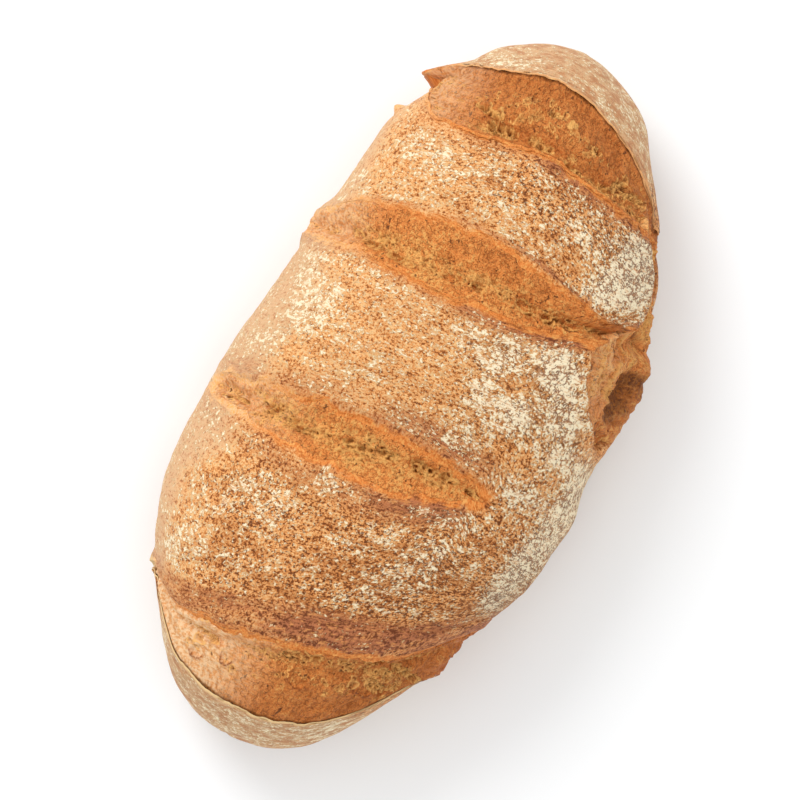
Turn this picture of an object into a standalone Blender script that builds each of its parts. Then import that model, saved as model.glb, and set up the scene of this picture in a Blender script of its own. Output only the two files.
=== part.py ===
"""Spelt sourdough loaf: one hand-shaped, slashed loaf as a single closed solid, in metres, +Z up.

The loaf lies along X on its flat underside, with its origin under the middle of its box. Its skin is a
rounded oval in plan that bows a little, with a domed top and flanks that turn under to the base.
Four slashes cross the top. Each has opened between two lips, and between them the crumb stands in its
own relief, under an ear where the skin has lifted and beside a soft roll where it has only stretched.
On the -Y flank the skin has burst along the side of the loaf, over a torn hollow with an outer rim.

A place on the loaf is given by two angles: "along" runs from -90 at the -X nose to +90 at the +X nose,
and "round" is 0 at the crown, +90 on the +Y flank, -90 on the -Y flank and 180 under the base.
"""

import math

import bpy
import numpy as np

MM = 0.001

# Driving dimensions
LENGTH = 291 * MM
WIDTH = 146 * MM
HEIGHT = 90 * MM
WAIST_HEIGHT = 35 * MM  # level at which the plan is widest, and of both noses
BOX_SHIFT = (0.1 * MM, 0.1 * MM)  # brings the middle of the box over the origin

# Form of the whole loaf
PLAN_POWER = 2.1  # 2 is a plain ellipse, more is squarer
TOP_POWER = 2.4  # the same for the crown seen from the side
DOME_POWER = 2.15  # the same for the cross-section above the waist
FOOT_POWER = 4.0  # and below it
FOOT_LENGTH_POWER = 6.0
FOOT_NOSE_POWER = 2.5  # how bluntly the foot ends at the noses
FOOT_REACH = 1.15  # over 1, so that the base is cut flat
TOE_NARROWING = 0.03  # share of the width that the +X half lacks
TOE_NARROWS = (-35, 15)  # from where to where along the loaf it sets in, in mm
CENTRE_PLACES = (-145, -100, -65, -30, 5, 38, 75, 110, 145)  # along the loaf, in mm
CENTRE_LINE = (6, 6.5, 5.5, 1, -1.5, -3, 0, 3, 6)  # the loaf bows: its middle in Y there, in mm

# Places round the loaf, in degrees, at which a lip's place along the loaf is named
LIP_ANGLES = (-85, -45, 0, 45, 85)
REST_ANGLE = 128  # under the flank, where the rows of the mesh run straight across

# Each slash: its lips' places along the loaf in mm at LIP_ANGLES, the angles at which it closes, where
# its rows lie under the loaf, and its relief from the lower lip (0) to the upper one (1) as
# (share of the way across, height over the dome in mm).
SLASHES = {
    "heel": {
        "lower": (-87, -123, -132, -127, -104),
        "upper": (-60, -76, -93, -104, -100),
        "ends": (-98, 98),
        "rest": -108,
        "relief": ((-0.05, 1.5), (0.01, 1.1), (0.005, -0.2), (-0.03, -2.2), (0.05, -4.0), (0.16, -2.9),
                   (0.32, -1.3), (0.46, -1.7), (0.57, -4.2), (0.66, -3.6), (0.71, -0.9), (0.82, 0.3),
                   (1.0, 0.6)),
    },
    "middle": {
        "lower": (-28, -22, -37, -37, -33),
        "upper": (-22, -19, -12, -19, -27),
        "ends": (-34, 72),
        "rest": -30,
        "relief": ((0.0, 0.0), (0.07, -2.8), (0.26, -3.4), (0.46, -5.0), (0.6, -4.6), (0.8, -2.6),
                   (1.0, 0.4)),
    },
    "third": {
        "lower": (53, 48, 39, 38, 36),
        "upper": (68, 58, 65, 59, 47),
        "ends": (-80, 96),
        "rest": 47,
        "relief": ((0.0, 0.2), (0.05, -3.0), (0.18, -3.2), (0.32, -4.8), (0.46, -4.4), (0.62, -2.8),
                   (0.82, -0.8), (1.0, 0.8)),
    },
    "toe": {
        "lower": (92, 97, 101, 95.5, 106),
        "upper": (99, 117, 128, 122, 118.5),
        "ends": (-96, 99),
        "rest": 98,
        "relief": ((0.0, 0.2), (0.06, -3.6), (0.2, -2.6), (0.42, -1.2), (0.64, -1.6), (0.84, -2.8),
                   (0.96, -3.8), (1.03, -2.0), (0.995, -0.2), (0.99, 1.1), (1.06, 1.5)),
    },
}
CLOSING_ANGLE = 16  # the relief of a slash fades over this many degrees at each end
REST_GAP = 7 * MM  # between the two rows of a closed slash, under the loaf

# Skin between the slashes
BAND_SHARES = (0.05, 0.14, 0.28, 0.43, 0.57, 0.72, 0.86, 0.95)
BAND_PILLOW = 1.6 * MM
EAR_REACH = 0.45  # share of the way to the nose over which a cap rises to its ear
CAP_SHARES = (0.1, 0.24, 0.42, 0.6, 0.76, 0.89)  # from the last lip to the nose
FLANK_TURN = (100, 126)  # degrees from the crown over which all relief fades towards the base

# Slow waves over the whole skin: mm along the loaf for each radian, turns round it, phase, height
WAVES = (
    (17, 2.0, 0.6, 0.44 * MM),
    (9, -2.0, 0.0, 0.31 * MM),
    (26, 3.0, 1.57, 0.26 * MM),
)

# Dents and swells of the flanks and noses: x in mm, round angle, half length in mm, half turn in
# degrees, height
SWELLS = (
    (8, -80, 16, 26, -3.0 * MM),
    (88, -85, 24, 32, -1.8 * MM),
    (114, -85, 13, 30, -1.2 * MM),
    (133, -82, 8, 22, 1.2 * MM),
    (-2, -86, 12, 20, -1.2 * MM),
    (-107, -88, 14, 25, -1.4 * MM),
    (-78, -88, 7, 15, 0.5 * MM),
    (-137, -85, 10, 40, 1.3 * MM),
    (-119, 85, 15, 25, -2.2 * MM),
    (-33, 86, 16, 25, 0.9 * MM),
    (42, 88, 9, 16, 1.6 * MM),
    (66, 86, 17, 22, -1.5 * MM),
    (102, 86, 7, 18, -1.1 * MM),
    (133, 85, 8, 30, 0.9 * MM),
)
PATCH_REACH = 1.4  # a patch fades to nothing at this many half lengths from its middle

# Horns: skin torn loose at a slash's end stands out sideways as a tip that leans towards -X. Each has
# the slash's name, its lip, its round angle, the degrees round the loaf over which it fades, its length.
HORNS = (
    ("toe", "upper", 91, 11, 12.0 * MM),
    ("third", "upper", 90, 9, 1.8 * MM),
    ("third", "lower", 88, 9, 1.8 * MM),
    ("heel", "upper", 90, 9, 3.0 * MM),
    ("heel", "lower", -86, 9, 2.0 * MM),
)
HORN_WIDTH = 3.4  # degrees along the loaf to each side of its lip
HORN_LEAN = 0.42  # share of its length by which a horn leans

# Hollows torn in the crumb, in plan: x, y, half length across the loaf, half width along it, depth
HOLLOWS = (
    (104, 24, 6, 2.6, 2.4),
    (102, 8, 6, 2.6, 2.2),
    (105, -27, 4, 2.4, 2.0),
    (103, -36, 3.5, 2.2, 1.8),
    (-103, -12, 6, 3.4, 2.6),
    (-98, -28, 5, 3.0, 2.2),
    (-118, 18, 3, 3.0, 1.2),
)
HOLLOW_REACH = 1.5

# The burst in the -Y flank: the round angle of its upper edge at places along the loaf, in mm
BURST_PLACES = (8, 21, 34, 49, 63, 80, 94, 108)
BURST_EDGE = (-76, -54, -42, -42, -61, -68, -62, -58)
BURST_COLUMN = -61  # the column of the mesh that follows the upper edge
BURST_PULL = 46  # degrees to each side over which the columns make room for it
BURST_PULL_PLACES = (-30, 8, 108, 135)  # in mm along the loaf: it sets in, is whole, and fades again
BURST_FOOT = -112
BURST_FOOT_TURN = 14
BURST_STEP = (0.5, -2.5, -2.0 * MM)  # at the edge: degrees past it over which the skin drops, height
BURST_SLOPE = (-2.0, -18.0, -1.0 * MM)  # the wall below it, given likewise
BURST_RIM_ANGLES = (-76, -86)  # over these the tear comes back up to its outer rim
BURST_RIM_HEIGHT = 0.4 * MM
BURST_CURL = (2.0, 6.0, 0.8 * MM)  # the lifted upper edge: degrees above it, reach in degrees, height
BURST_CRAGS = (0.5, 13.0, 0.8 * MM)  # radians for each mm along, for each degree round, height
# Patches of the burst, as for the swells
BURST_PATCHES = (
    (38, -70, 12, 8, -3.4 * MM),
    (54, -58, 4, 8, -3.5 * MM),
    (43, -86, 14, 8, 2.4 * MM),
    (57, -72, 4, 16, -3.0 * MM),
    (88, -74, 12, 8, -2.0 * MM),
)

COLUMNS = 60
CROWN_CROWDING = 0.72  # under 1, so that columns stand closer at the crown than under the base
EDGE_COLUMNS = (1.0, -2.2)  # degrees from the burst's upper edge at which a pair of columns stands
COLUMN_ROOM = 1.2  # no other column comes this close to them
NOSE_CLEARANCE = 0.5  # degrees from the noses, where the skin has no one direction
SHARP_ANGLE = 50

CRUST_COLOUR = (0.58, 0.29, 0.12, 1.0)
CRUST_ROUGHNESS = 0.85


def clear_scene():
    for thing in list(bpy.data.objects):
        bpy.data.objects.remove(thing, do_unlink=True)


def smoothstep(low, high, at):
    share = np.clip((at - low) / (high - low), 0.0, 1.0)
    return share * share * (3.0 - 2.0 * share)


def smooth_through(places, values, at):
    """A smooth curve through named values: cubic pieces whose slope at a place leans on its neighbours."""
    places = np.asarray(places, float)
    values = np.asarray(values, float)
    slopes = np.gradient(values, places)
    index = np.clip(np.searchsorted(places, at) - 1, 0, len(places) - 2)
    span = places[index + 1] - places[index]
    t = np.clip((at - places[index]) / span, 0.0, 1.0)
    rise = t * t * (3.0 - 2.0 * t)
    return (values[index] * (1.0 - rise) + values[index + 1] * rise
            + span * t * (1.0 - t) * ((1.0 - t) * slopes[index] - t * slopes[index + 1]))


def mound(offset, reach):
    """1 in the middle, 0 from the reach on, with a round top."""
    return np.clip(1.0 - (offset / reach) ** 2, 0.0, 1.0) ** 2


def x_of(along):
    return 0.5 * LENGTH * np.sin(np.radians(along))


def angle_of(x_mm):
    return np.degrees(np.arcsin(np.clip(np.asarray(x_mm) * MM / (0.5 * LENGTH), -1.0, 1.0)))


def centre_line(x):
    return MM * smooth_through(CENTRE_PLACES, CENTRE_LINE, x / MM)


def dome(along, round_angle):
    """Points of the unslashed skin at two arrays of angles, in degrees."""
    reach = np.abs(np.sin(np.radians(along)))
    across = np.sin(np.radians(round_angle))
    up = np.cos(np.radians(round_angle))
    x = x_of(along)
    toe_half = smoothstep(*TOE_NARROWS, x / MM)
    plan = np.sqrt(1.0 - reach**PLAN_POWER) * (1.0 - TOE_NARROWING * toe_half)
    crown = np.sqrt(1.0 - reach**TOP_POWER)
    foot = (1.0 - reach**FOOT_LENGTH_POWER) ** (1.0 / FOOT_NOSE_POWER)
    power = np.where(up > 0.0, 2.0 / DOME_POWER, 2.0 / FOOT_POWER)
    side = np.sign(across) * np.abs(across) ** power
    height = np.abs(up) ** power
    y = centre_line(x) + 0.5 * WIDTH * plan * side
    above = (HEIGHT - WAIST_HEIGHT) * crown * height
    below = WAIST_HEIGHT * FOOT_REACH * foot * height
    z = WAIST_HEIGHT + np.where(up > 0.0, above, -below)
    return np.stack([x, y, np.maximum(z, 0.0)], axis=-1)


def outward(along, round_angle):
    """Unit normals of the dome, by stepping a little along it and round it."""
    step = 0.05
    clipped = np.clip(along, NOSE_CLEARANCE - 90.0, 90.0 - NOSE_CLEARANCE)
    ahead = dome(clipped + step, round_angle) - dome(clipped - step, round_angle)
    turn = dome(clipped, round_angle + step) - dome(clipped, round_angle - step)
    normal = np.cross(ahead, turn)
    size = np.linalg.norm(normal, axis=-1, keepdims=True)
    return normal / np.maximum(size, 1e-12)


def lip_line(slash, side, round_angle):
    """Where one lip of a slash lies along the loaf, as an angle, at each angle round it."""
    gap = 0.5 * REST_GAP / MM * (1 if side == "upper" else -1)
    rest = SLASHES[slash]["rest"] + gap
    places = (-180, -REST_ANGLE, *LIP_ANGLES, REST_ANGLE, 180)
    values = (rest, rest, *SLASHES[slash][side], rest, rest)
    return angle_of(smooth_through(places, values, round_angle))


def openness(slash, round_angle):
    """1 where a slash stands open, 0 where the skin is whole."""
    low, high = SLASHES[slash]["ends"]
    return (smoothstep(low, low + CLOSING_ANGLE, round_angle)
            * smoothstep(-high, CLOSING_ANGLE - high, -round_angle))


def horn_shift(along, round_angle):
    """How far the horns draw the skin out, as vectors."""
    shift = np.zeros((*round_angle.shape, 3))
    for slash, side, place, turn, length in HORNS:
        apart = along - lip_line(slash, side, round_angle)
        reach = length * mound(round_angle - place, turn) * mound(apart, HORN_WIDTH)
        direction = np.array([-HORN_LEAN, np.sign(place) * math.sqrt(1.0 - HORN_LEAN**2), 0.0])
        shift += reach[:, None] * direction
    return shift


def hollow_depth(x, y, open_share):
    """Torn hollows in the crumb, in plan."""
    depth = np.zeros_like(x)
    for place_x, place_y, half_y, half_x, deep in HOLLOWS:
        off = np.hypot((x / MM - place_x) / half_x, (y / MM - place_y) / half_y)
        depth += deep * MM * mound(off, HOLLOW_REACH)
    return depth * open_share


def burst_edge(x):
    return smooth_through(BURST_PLACES, BURST_EDGE, np.clip(x / MM, BURST_PLACES[0], BURST_PLACES[-1]))


def burst_share(x):
    """1 along the burst, 0 past its two ends."""
    return (smoothstep(BURST_PLACES[0], BURST_PLACES[1], x / MM)
            * smoothstep(-BURST_PLACES[-1], -BURST_PLACES[-2], -x / MM))


def make_room_for_burst(along, round_angle):
    """Moves the columns near the burst so that one of them follows its upper edge."""
    x = x_of(along)
    start, whole, fading, end = BURST_PULL_PLACES
    share = smoothstep(start, whole, x / MM) * smoothstep(-end, -fading, -x / MM)
    pull = (burst_edge(x) - BURST_COLUMN) * share
    near = np.cos(np.clip((round_angle - BURST_COLUMN) / BURST_PULL, -1.0, 1.0) * 0.5 * np.pi) ** 2
    return round_angle + pull * near


def patches(places, x, round_angle):
    """Height of a list of round patches, each fading out at its edge."""
    total = np.zeros_like(x)
    for middle, angle, half_length, half_turn, height in places:
        off = np.hypot((x / MM - middle) / half_length, (round_angle - angle) / half_turn)
        total += height * mound(off, PATCH_REACH)
    return total


def burst_relief(x, round_angle):
    """Height of the torn flank over the dome: negative in the tear, positive on its rim."""
    edge = burst_edge(x)
    foot = smoothstep(BURST_FOOT, BURST_FOOT + BURST_FOOT_TURN, round_angle)
    start, end, drop = BURST_STEP
    torn = smoothstep(start, end, round_angle - edge) * foot
    slope_start, slope_end, slope_drop = BURST_SLOPE
    wall = drop + slope_drop * smoothstep(slope_start, slope_end, round_angle - edge)
    along_rate, round_rate, crag_height = BURST_CRAGS
    crags = crag_height * np.sin(along_rate * x / MM) * np.sin(np.radians(round_angle * round_rate))
    rim = smoothstep(*BURST_RIM_ANGLES, round_angle)
    relief = (wall * (1.0 - rim) + BURST_RIM_HEIGHT * rim + crags
              + patches(BURST_PATCHES, x, round_angle))
    above, reach, curl_height = BURST_CURL
    curl = curl_height * mound(round_angle - edge - above, reach)
    return burst_share(x) * (torn * relief + curl)


def waves(x, round_angle):
    return sum(height * np.sin(x / (length * MM) + turns * np.radians(round_angle) + phase)
               for length, turns, phase, height in WAVES)


def column_angles():
    """Angles round the loaf, closer at the crown, with a close pair at the burst's upper edge."""
    share = np.arange(COLUMNS) / (COLUMNS / 2) - 1.0
    angles = 180.0 * (CROWN_CROWDING * share + (1.0 - CROWN_CROWDING) * share**3)
    pair = BURST_COLUMN + np.array(EDGE_COLUMNS)
    apart = np.abs(angles[:, None] - pair).min(axis=1)
    return np.sort(np.concatenate([angles[apart > COLUMN_ROOM], pair]))


def rows_of_loaf(round_angle):
    """Rows from the -X nose to the +X nose: for each, angle along, height over the dome, openness."""
    rows = []
    nose = np.full_like(round_angle, -90.0)
    behind = nose
    shut = np.zeros_like(round_angle)
    for slash, spec in SLASHES.items():
        lower = lip_line(slash, "lower", round_angle)
        upper = lip_line(slash, "upper", round_angle)
        is_cap = behind is nose
        share_open = openness(slash, round_angle)
        shares = [1.0 - share for share in reversed(CAP_SHARES)] if is_cap else BAND_SHARES
        for share in shares:
            ear = spec["relief"][0][1] * MM * mound(1.0 - share, EAR_REACH) * share_open
            rise = ear if is_cap else BAND_PILLOW * (1.0 - (2.0 * share - 1.0) ** 2)
            rows.append((behind + (lower - behind) * share, shut + rise, shut))
        even = np.linspace(0.0, 1.0, len(spec["relief"]))
        for even_share, (across, height) in zip(even, spec["relief"]):
            share = even_share + (across - even_share) * share_open
            rows.append((lower + (upper - lower) * share, height * MM * share_open, share_open))
        behind = upper
    for share in CAP_SHARES:
        ear = spec["relief"][-1][1] * MM * mound(share, EAR_REACH) * share_open
        rows.append((behind + (90.0 - behind) * share, ear, shut))
    return rows


def loaf_points():
    """The rings of the mesh, from the -X nose to the +X nose, as one array."""
    columns = column_angles()
    rings = []
    for along, height, open_share in rows_of_loaf(columns):
        angles = make_room_for_burst(along, columns)
        skin = dome(along, angles)
        x, y = skin[:, 0], skin[:, 1]
        whole = 1.0 - smoothstep(*FLANK_TURN, np.abs(angles))
        lift = (height + waves(x, angles) + patches(SWELLS, x, angles) + burst_relief(x, angles)
                - hollow_depth(x, y, open_share))
        ring = skin + outward(along, angles) * (lift * whole)[:, None] + horn_shift(along, angles)
        ring[:, 2] = np.maximum(ring[:, 2], 0.0)
        rings.append(ring)
    return np.array(rings) + np.array([*BOX_SHIFT, 0.0])


def nose_point(side):
    point = dome(np.array([90.0 * side]), np.array([0.0]))[0]
    return point + np.array([*BOX_SHIFT, 0.0])


def closed_mesh(name, rings):
    """Joins the rings to each other and closes both noses with a fan."""
    count, columns, _ = rings.shape
    vertices = [tuple(point) for point in rings.reshape(-1, 3)]
    vertices += [tuple(nose_point(-1)), tuple(nose_point(1))]
    first_nose, last_nose = len(vertices) - 2, len(vertices) - 1
    faces = []
    for column in range(columns):
        after = (column + 1) % columns
        faces.append((first_nose, column, after))
        last = (count - 1) * columns
        faces.append((last_nose, last + after, last + column))
        for ring in range(count - 1):
            here, there = ring * columns, (ring + 1) * columns
            faces.append((here + column, there + column, there + after, here + after))
    mesh = bpy.data.meshes.new(name)
    mesh.from_pydata(vertices, [], faces)
    mesh.update()
    return mesh


def crust_material():
    material = bpy.data.materials.new("crust")
    material.use_nodes = True
    shader = material.node_tree.nodes["Principled BSDF"]
    shader.inputs["Base Color"].default_value = CRUST_COLOUR
    shader.inputs["Roughness"].default_value = CRUST_ROUGHNESS
    shader.inputs["Metallic"].default_value = 0.0
    return material


def build_loaf():
    mesh = closed_mesh("loaf", loaf_points())
    mesh.materials.append(crust_material())
    mesh.shade_smooth()
    mesh.set_sharp_from_angle(angle=math.radians(SHARP_ANGLE))
    loaf = bpy.data.objects.new("loaf", mesh)
    bpy.context.scene.collection.objects.link(loaf)
    return loaf


clear_scene()
build_loaf()
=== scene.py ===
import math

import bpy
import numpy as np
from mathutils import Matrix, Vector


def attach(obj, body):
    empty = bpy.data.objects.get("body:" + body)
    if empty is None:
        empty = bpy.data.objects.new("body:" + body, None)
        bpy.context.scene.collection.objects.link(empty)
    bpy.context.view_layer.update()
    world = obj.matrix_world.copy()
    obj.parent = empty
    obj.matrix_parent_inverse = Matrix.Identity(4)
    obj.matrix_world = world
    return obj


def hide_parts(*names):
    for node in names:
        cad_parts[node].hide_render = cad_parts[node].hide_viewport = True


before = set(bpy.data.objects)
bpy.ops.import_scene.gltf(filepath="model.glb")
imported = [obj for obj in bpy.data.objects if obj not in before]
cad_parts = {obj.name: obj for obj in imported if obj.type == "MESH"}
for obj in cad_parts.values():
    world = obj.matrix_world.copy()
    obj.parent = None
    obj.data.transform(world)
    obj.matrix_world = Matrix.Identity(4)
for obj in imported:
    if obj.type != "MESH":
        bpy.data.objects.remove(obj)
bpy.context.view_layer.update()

# Looks of the spelt sourdough loaf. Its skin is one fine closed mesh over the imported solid, cut by four
# slashes and by a burst in the -Y flank. In each of them lies a patch of crumb. Under an ear the crumb
# starts below the skin's free edge, and at a roll it comes up through the skin, which has only stretched
# there. A place on the loaf is given as in the solid: "along" is -90 at the -X nose and +90 at the +X
# nose, and "round" is 0 at the crown, +90 on the +Y flank and -90 on the -Y flank. Lengths inside the
# shape functions are in millimetres.

MM = 0.001

# ---------------------------------------------------------------- form, as in the solid
LENGTH = 291.0
WIDTH = 146.0
HEIGHT = 90.0
WAIST_HEIGHT = 35.0
BOX_SHIFT = (0.1, 0.1)
PLAN_POWER = 2.1
TOP_POWER = 2.4
DOME_POWER = 2.15
FOOT_POWER = 4.0
FOOT_LENGTH_POWER = 6.0
FOOT_NOSE_POWER = 2.5
FOOT_REACH = 1.15
TOE_NARROWING = 0.03
TOE_NARROWS = (-35, 15)
CENTRE_PLACES = (-145, -100, -65, -30, 5, 38, 75, 110, 145)
CENTRE_LINE = (6, 6.5, 5.5, 1, -1.5, -3, 0, 3, 6)
LIP_ANGLES = (-85, -45, 0, 45, 85)
REST_ANGLE = 128
REST_GAP = 7.0
CLOSING_ANGLE = 16
BAND_PILLOW = 1.6
EAR_REACH = 0.45
FLANK_TURN = (100, 126)
NOSE_CLEARANCE = 0.5

# Slow waves over the whole skin: mm along the loaf for each radian, turns round it, phase, height
WAVES = ((17, 2.0, 0.6, 0.44), (9, -2.0, 0.0, 0.31), (26, 3.0, 1.57, 0.26))
LUMPS = (0.35, 13.0)  # height and size of its small lumps
WRINKLES = (0.16, 3.2)
WRINKLE_STRETCH = (1.0, 0.35, 0.35)

# Dents and swells of the flanks and noses: x, round angle, half length, half turn, height
SWELLS = (
    (8, -80, 16, 26, -3.0), (88, -85, 24, 32, -1.8), (114, -85, 13, 30, -1.2), (133, -82, 8, 22, 1.2),
    (-2, -86, 12, 20, -1.2), (-107, -88, 14, 25, -1.4), (-78, -88, 7, 15, 0.5), (-137, -85, 10, 40, 1.3),
    (-119, 85, 15, 25, -2.2), (-33, 86, 16, 25, 0.9), (42, 88, 9, 16, 1.6), (66, 86, 17, 22, -1.5),
    (102, 86, 7, 18, -1.1), (133, 85, 8, 30, 0.9),
)
PATCH_REACH = 1.4

# Where each kind of noise starts, so that no two of them look alike
SEEDS = {
    "wrinkles": 11, "lumps": 12, "burst edge": 31, "burst end": 33, "burst side": 35, "clefts": 37,
    "edges": 40, "edge waves": 60, "drifts": 91, "baked": 95, "flank": 97, "crumb": 100, "burst": 200,
}
CRUMB_SEED_STEP = 20  # from one slash's crumb to the next one's

# Large whole numbers that scatter the noise, and a distance beyond any of its cells
SEED_FACTOR = 2654435761
AXIS_FACTORS = (374761393, 668265263, 2246822519)
STIR_FACTOR = 1274126177
FAR = 9.0

# Each slash: its lips along the loaf at LIP_ANGLES, the angles at which it closes and where its rows lie
# under the loaf. "edges" gives, for the lower and the upper side, the kind of the skin's edge, the share
# of the way across at which it lies, and how far the skin beside it is bare of flour, at LIP_ANGLES.
# "skin" is the relief of the skin from the lower lip (0) to the upper one (1), "crumb" that of the crumb.
SLASHES = {
    "heel": {
        "lower": (-87, -123, -132, -127, -104),
        "upper": (-60, -76, -93, -104, -100),
        "ends": (-98, 98),
        "rest": -108,
        "edges": (("ear", 0.0, (0, 0, 0, 0, 0)), ("roll", 0.72, (13, 15, 17, 15, 6))),
        "skin": ((0.0, 1.0), (0.01, 0.9), (0.62, -1.9), (0.72, -0.8), (0.84, 0.4), (1.0, 0.6)),
        "crumb": ((-0.1, -1.4), (0.0, 0.3), (0.05, 0.5), (0.1, 0.2), (0.2, -0.8), (0.32, -1.0), (0.46, -1.6),
                  (0.57, -3.2), (0.64, -2.8), (0.72, -1.3), (0.82, -1.2), (0.95, -3.0)),
    },
    "middle": {
        "lower": (-28, -22, -37, -37, -33),
        "upper": (-22, -19, -12, -19, -27),
        "ends": (-36, 84),
        "rest": -30,
        "edges": (("roll", 0.12, (4, 4, 4, 3, 2)), ("roll", 0.84, (4, 4, 4, 4, 2))),
        "skin": ((0.0, 0.0), (0.12, -1.3), (0.3, -2.6), (0.7, -2.8), (0.86, -1.5), (1.0, 0.2)),
        "crumb": ((-0.2, -3.0), (0.0, -1.4), (0.12, -1.5), (0.26, -2.7), (0.46, -4.0), (0.6, -3.9),
                  (0.76, -2.7), (0.88, -1.4), (1.0, -1.0), (1.15, -3.0)),
    },
    "third": {
        "lower": (53, 48, 39, 38, 36),
        "upper": (68, 58, 65, 59, 47),
        "ends": (-80, 96),
        "rest": 47,
        "edges": (("roll", 0.06, (2, 1, 3, 4, 3)), ("roll", 0.9, (0.5, 0.5, 4, 4, 3))),
        "skin": ((0.0, 0.3), (0.08, -0.9), (0.3, -2.4), (0.7, -1.6), (0.9, 0.2), (1.0, 0.9)),
        "crumb": ((-0.15, -2.6), (0.0, -0.9), (0.08, -1.3), (0.2, -2.8), (0.34, -4.2), (0.46, -3.6),
                  (0.62, -1.7), (0.82, -0.2), (0.94, 0.2), (1.05, -0.4), (1.2, -2.6)),
    },
    "toe": {
        "lower": (92, 97, 101, 95.5, 106),
        "upper": (99, 117, 128, 122, 118.5),
        "ends": (-96, 99),
        "rest": 98,
        "edges": (("tear", 0.0, (1, 2, 3, 4, 6)), ("ear", 1.0, (0, 0, 0, 0, 2))),
        "skin": ((0.0, 0.2), (0.05, 0.0), (0.95, 0.8), (1.0, 1.0)),
        "crumb": ((-0.1, -2.8), (0.0, -0.9), (0.06, -1.9), (0.16, -2.0), (0.36, -0.6), (0.6, -0.5),
                  (0.84, -0.9), (0.95, 0.2), (1.0, 0.3), (1.1, -1.4)),
    },
}

# The skin's edges in section: offset towards the middle of the slash and height over the skin
EDGE_SECTIONS = {
    "ear": ((-1.0, 0.0), (-0.4, 0.06), (0.0, 0.04), (0.2, -0.08), (0.22, -0.24), (0.05, -0.4), (-0.6, -0.7),
            (-1.4, -1.8), (-1.8, -4.0), (-1.5, -8.5)),
    "tear": ((-0.9, 0.1), (-0.4, 0.3), (0.0, 0.36), (0.25, 0.2), (0.3, -0.1), (0.15, -0.5), (-0.1, -1.5),
             (-0.2, -4.0), (0.0, -8.5)),
    "roll": ((-0.6, 0.0), (0.1, -0.05), (0.8, -0.3), (1.5, -0.9), (2.0, -2.0), (2.3, -4.5), (2.3, -8.5)),
}
EDGE_RAGGED = {"ear": 0.35, "tear": 1.1, "roll": 1.3}
EDGE_RAGGED_SIZE = 7.0
EDGE_WAVES = {"ear": 0.2, "tear": 0.35, "roll": 0.15}
EDGE_WAVE_SIZE = 5.0
EDGE_STRETCH = {"ear": 0.5, "tear": 3.0, "roll": 4.5}  # how far from its edge the skin looks torn,
STRETCH_LIMIT = (1.2, 1.5)  # but no further than this and so many times the width that is bare of flour
FLOUR_STARTS = (1.6, 0.55)  # flour is whole so many mm past the bare width, and gone at this share of it
RIM_WIDTHS = (0.7, 0.2)  # the bright rim starts and is whole at so many mm from the edge
LOOKS_SET_IN = (0.05, 0.4)  # shares of a slash's width over which the looks of its edges set in
LOOKS_END = (-6.0, -2.5)  # and where they end, in mm past the edge
GAP_POWER = 0.7
EDGE_OPENS = 0.35  # share of its width at which a slash's edges have their full section
SECTION_LEAST = 0.15  # share of a section's width that is left where its slash is shut
SECTION_LEAD = 1.2  # the skin's own rows end this many times a section's first offset before its edge
INWARD = (1, -1)  # the way into a slash from its lower and from its upper side
OUTWARD = {"lower": -1, "upper": 1}
HIDDEN_DROPS = (-0.3, -1.0)  # heights in a section over which the skin gets out of sight
FLOOR_SHARES = (0.25, 0.5, 0.75)
ROWS_EVEN = 0.3  # share of its width below which the rows of a slash spread evenly
EDGE_BRIGHT = {"heel": 1.0, "toe": 0.35}  # how bright the thin edge of an ear is
EAR_SIDE = {"heel": 0, "toe": 1}
CRUMB_UNDER_EDGE = {"ear": -0.45, "tear": -0.7, "roll": 0.05}  # height of the crumb at the skin's edge
CRUMB_TUCK = 3.0  # how far a patch of crumb runs on below the skin
CRUMB_BURIAL = {"ear": 0.8, "tear": 0.8, "roll": 1.6}  # and how deep it gets there
CRUMB_DIVES = (0.2, -2.4)  # mm into the slash from its edge at which that starts and is whole
CRUMB_MEETS = 3.5  # mm over which the crumb leaves the height that it has at the skin's edge
CRUMB_SINK = (1.5, 0.22)  # how far it drops where its slash closes, and from which share of its gap
CRUMB_DROP = 0.7  # and by how much more where its slash doesn't stand wholly open
CRUMB_THICKNESS = 4.0
CRUMB_FRAY = (0.6, 3.4, (66, 86))  # roughness that it gains towards the flanks, its size, and at which angles
CLUMP_EDGES = (-0.35, 0.35)  # noise from which and to which a clump of torn crumb sets in
CLUMP_SIZE = 7.0
EAR_SHADOW = (0.8, (1.5, 0.5))  # its strength, and the mm from an ear's edge at which it starts and is whole
DEGREE_LENGTH = 1.15  # about how long one degree round the loaf is
GROOVE_DEPTH = 8.5

# Horns: skin torn loose at a slash's end stands out sideways as a tip that leans towards -X. Each has
# the slash's name, its lip, its round angle, the degrees over which it rises to the tip, its length
HORNS = (
    ("toe", "upper", 91, 26, 12.5),
    ("third", "upper", 90, 12, 1.8),
    ("third", "lower", 88, 12, 2.2),
    ("heel", "upper", 90, 14, 2.6),
    ("heel", "lower", -86, 14, 2.6),
)
HORN_FALL = 6.0  # degrees round the loaf past the tip over which a horn ends
HORN_BACK = 3.2  # how far it fades over the skin behind it, in degrees along the loaf
HORN_FRONT = 4.2  # and over the slash in front of it
HORN_LEAN = 0.42
HORN_POWER = 2.2
HORN_WHOLE = 8.0  # the length from which a horn looks torn all over
SCRAP = (93.5, 88, 2.2, 6, 2.8)  # a torn bit of skin by itself, as for the swells

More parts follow.
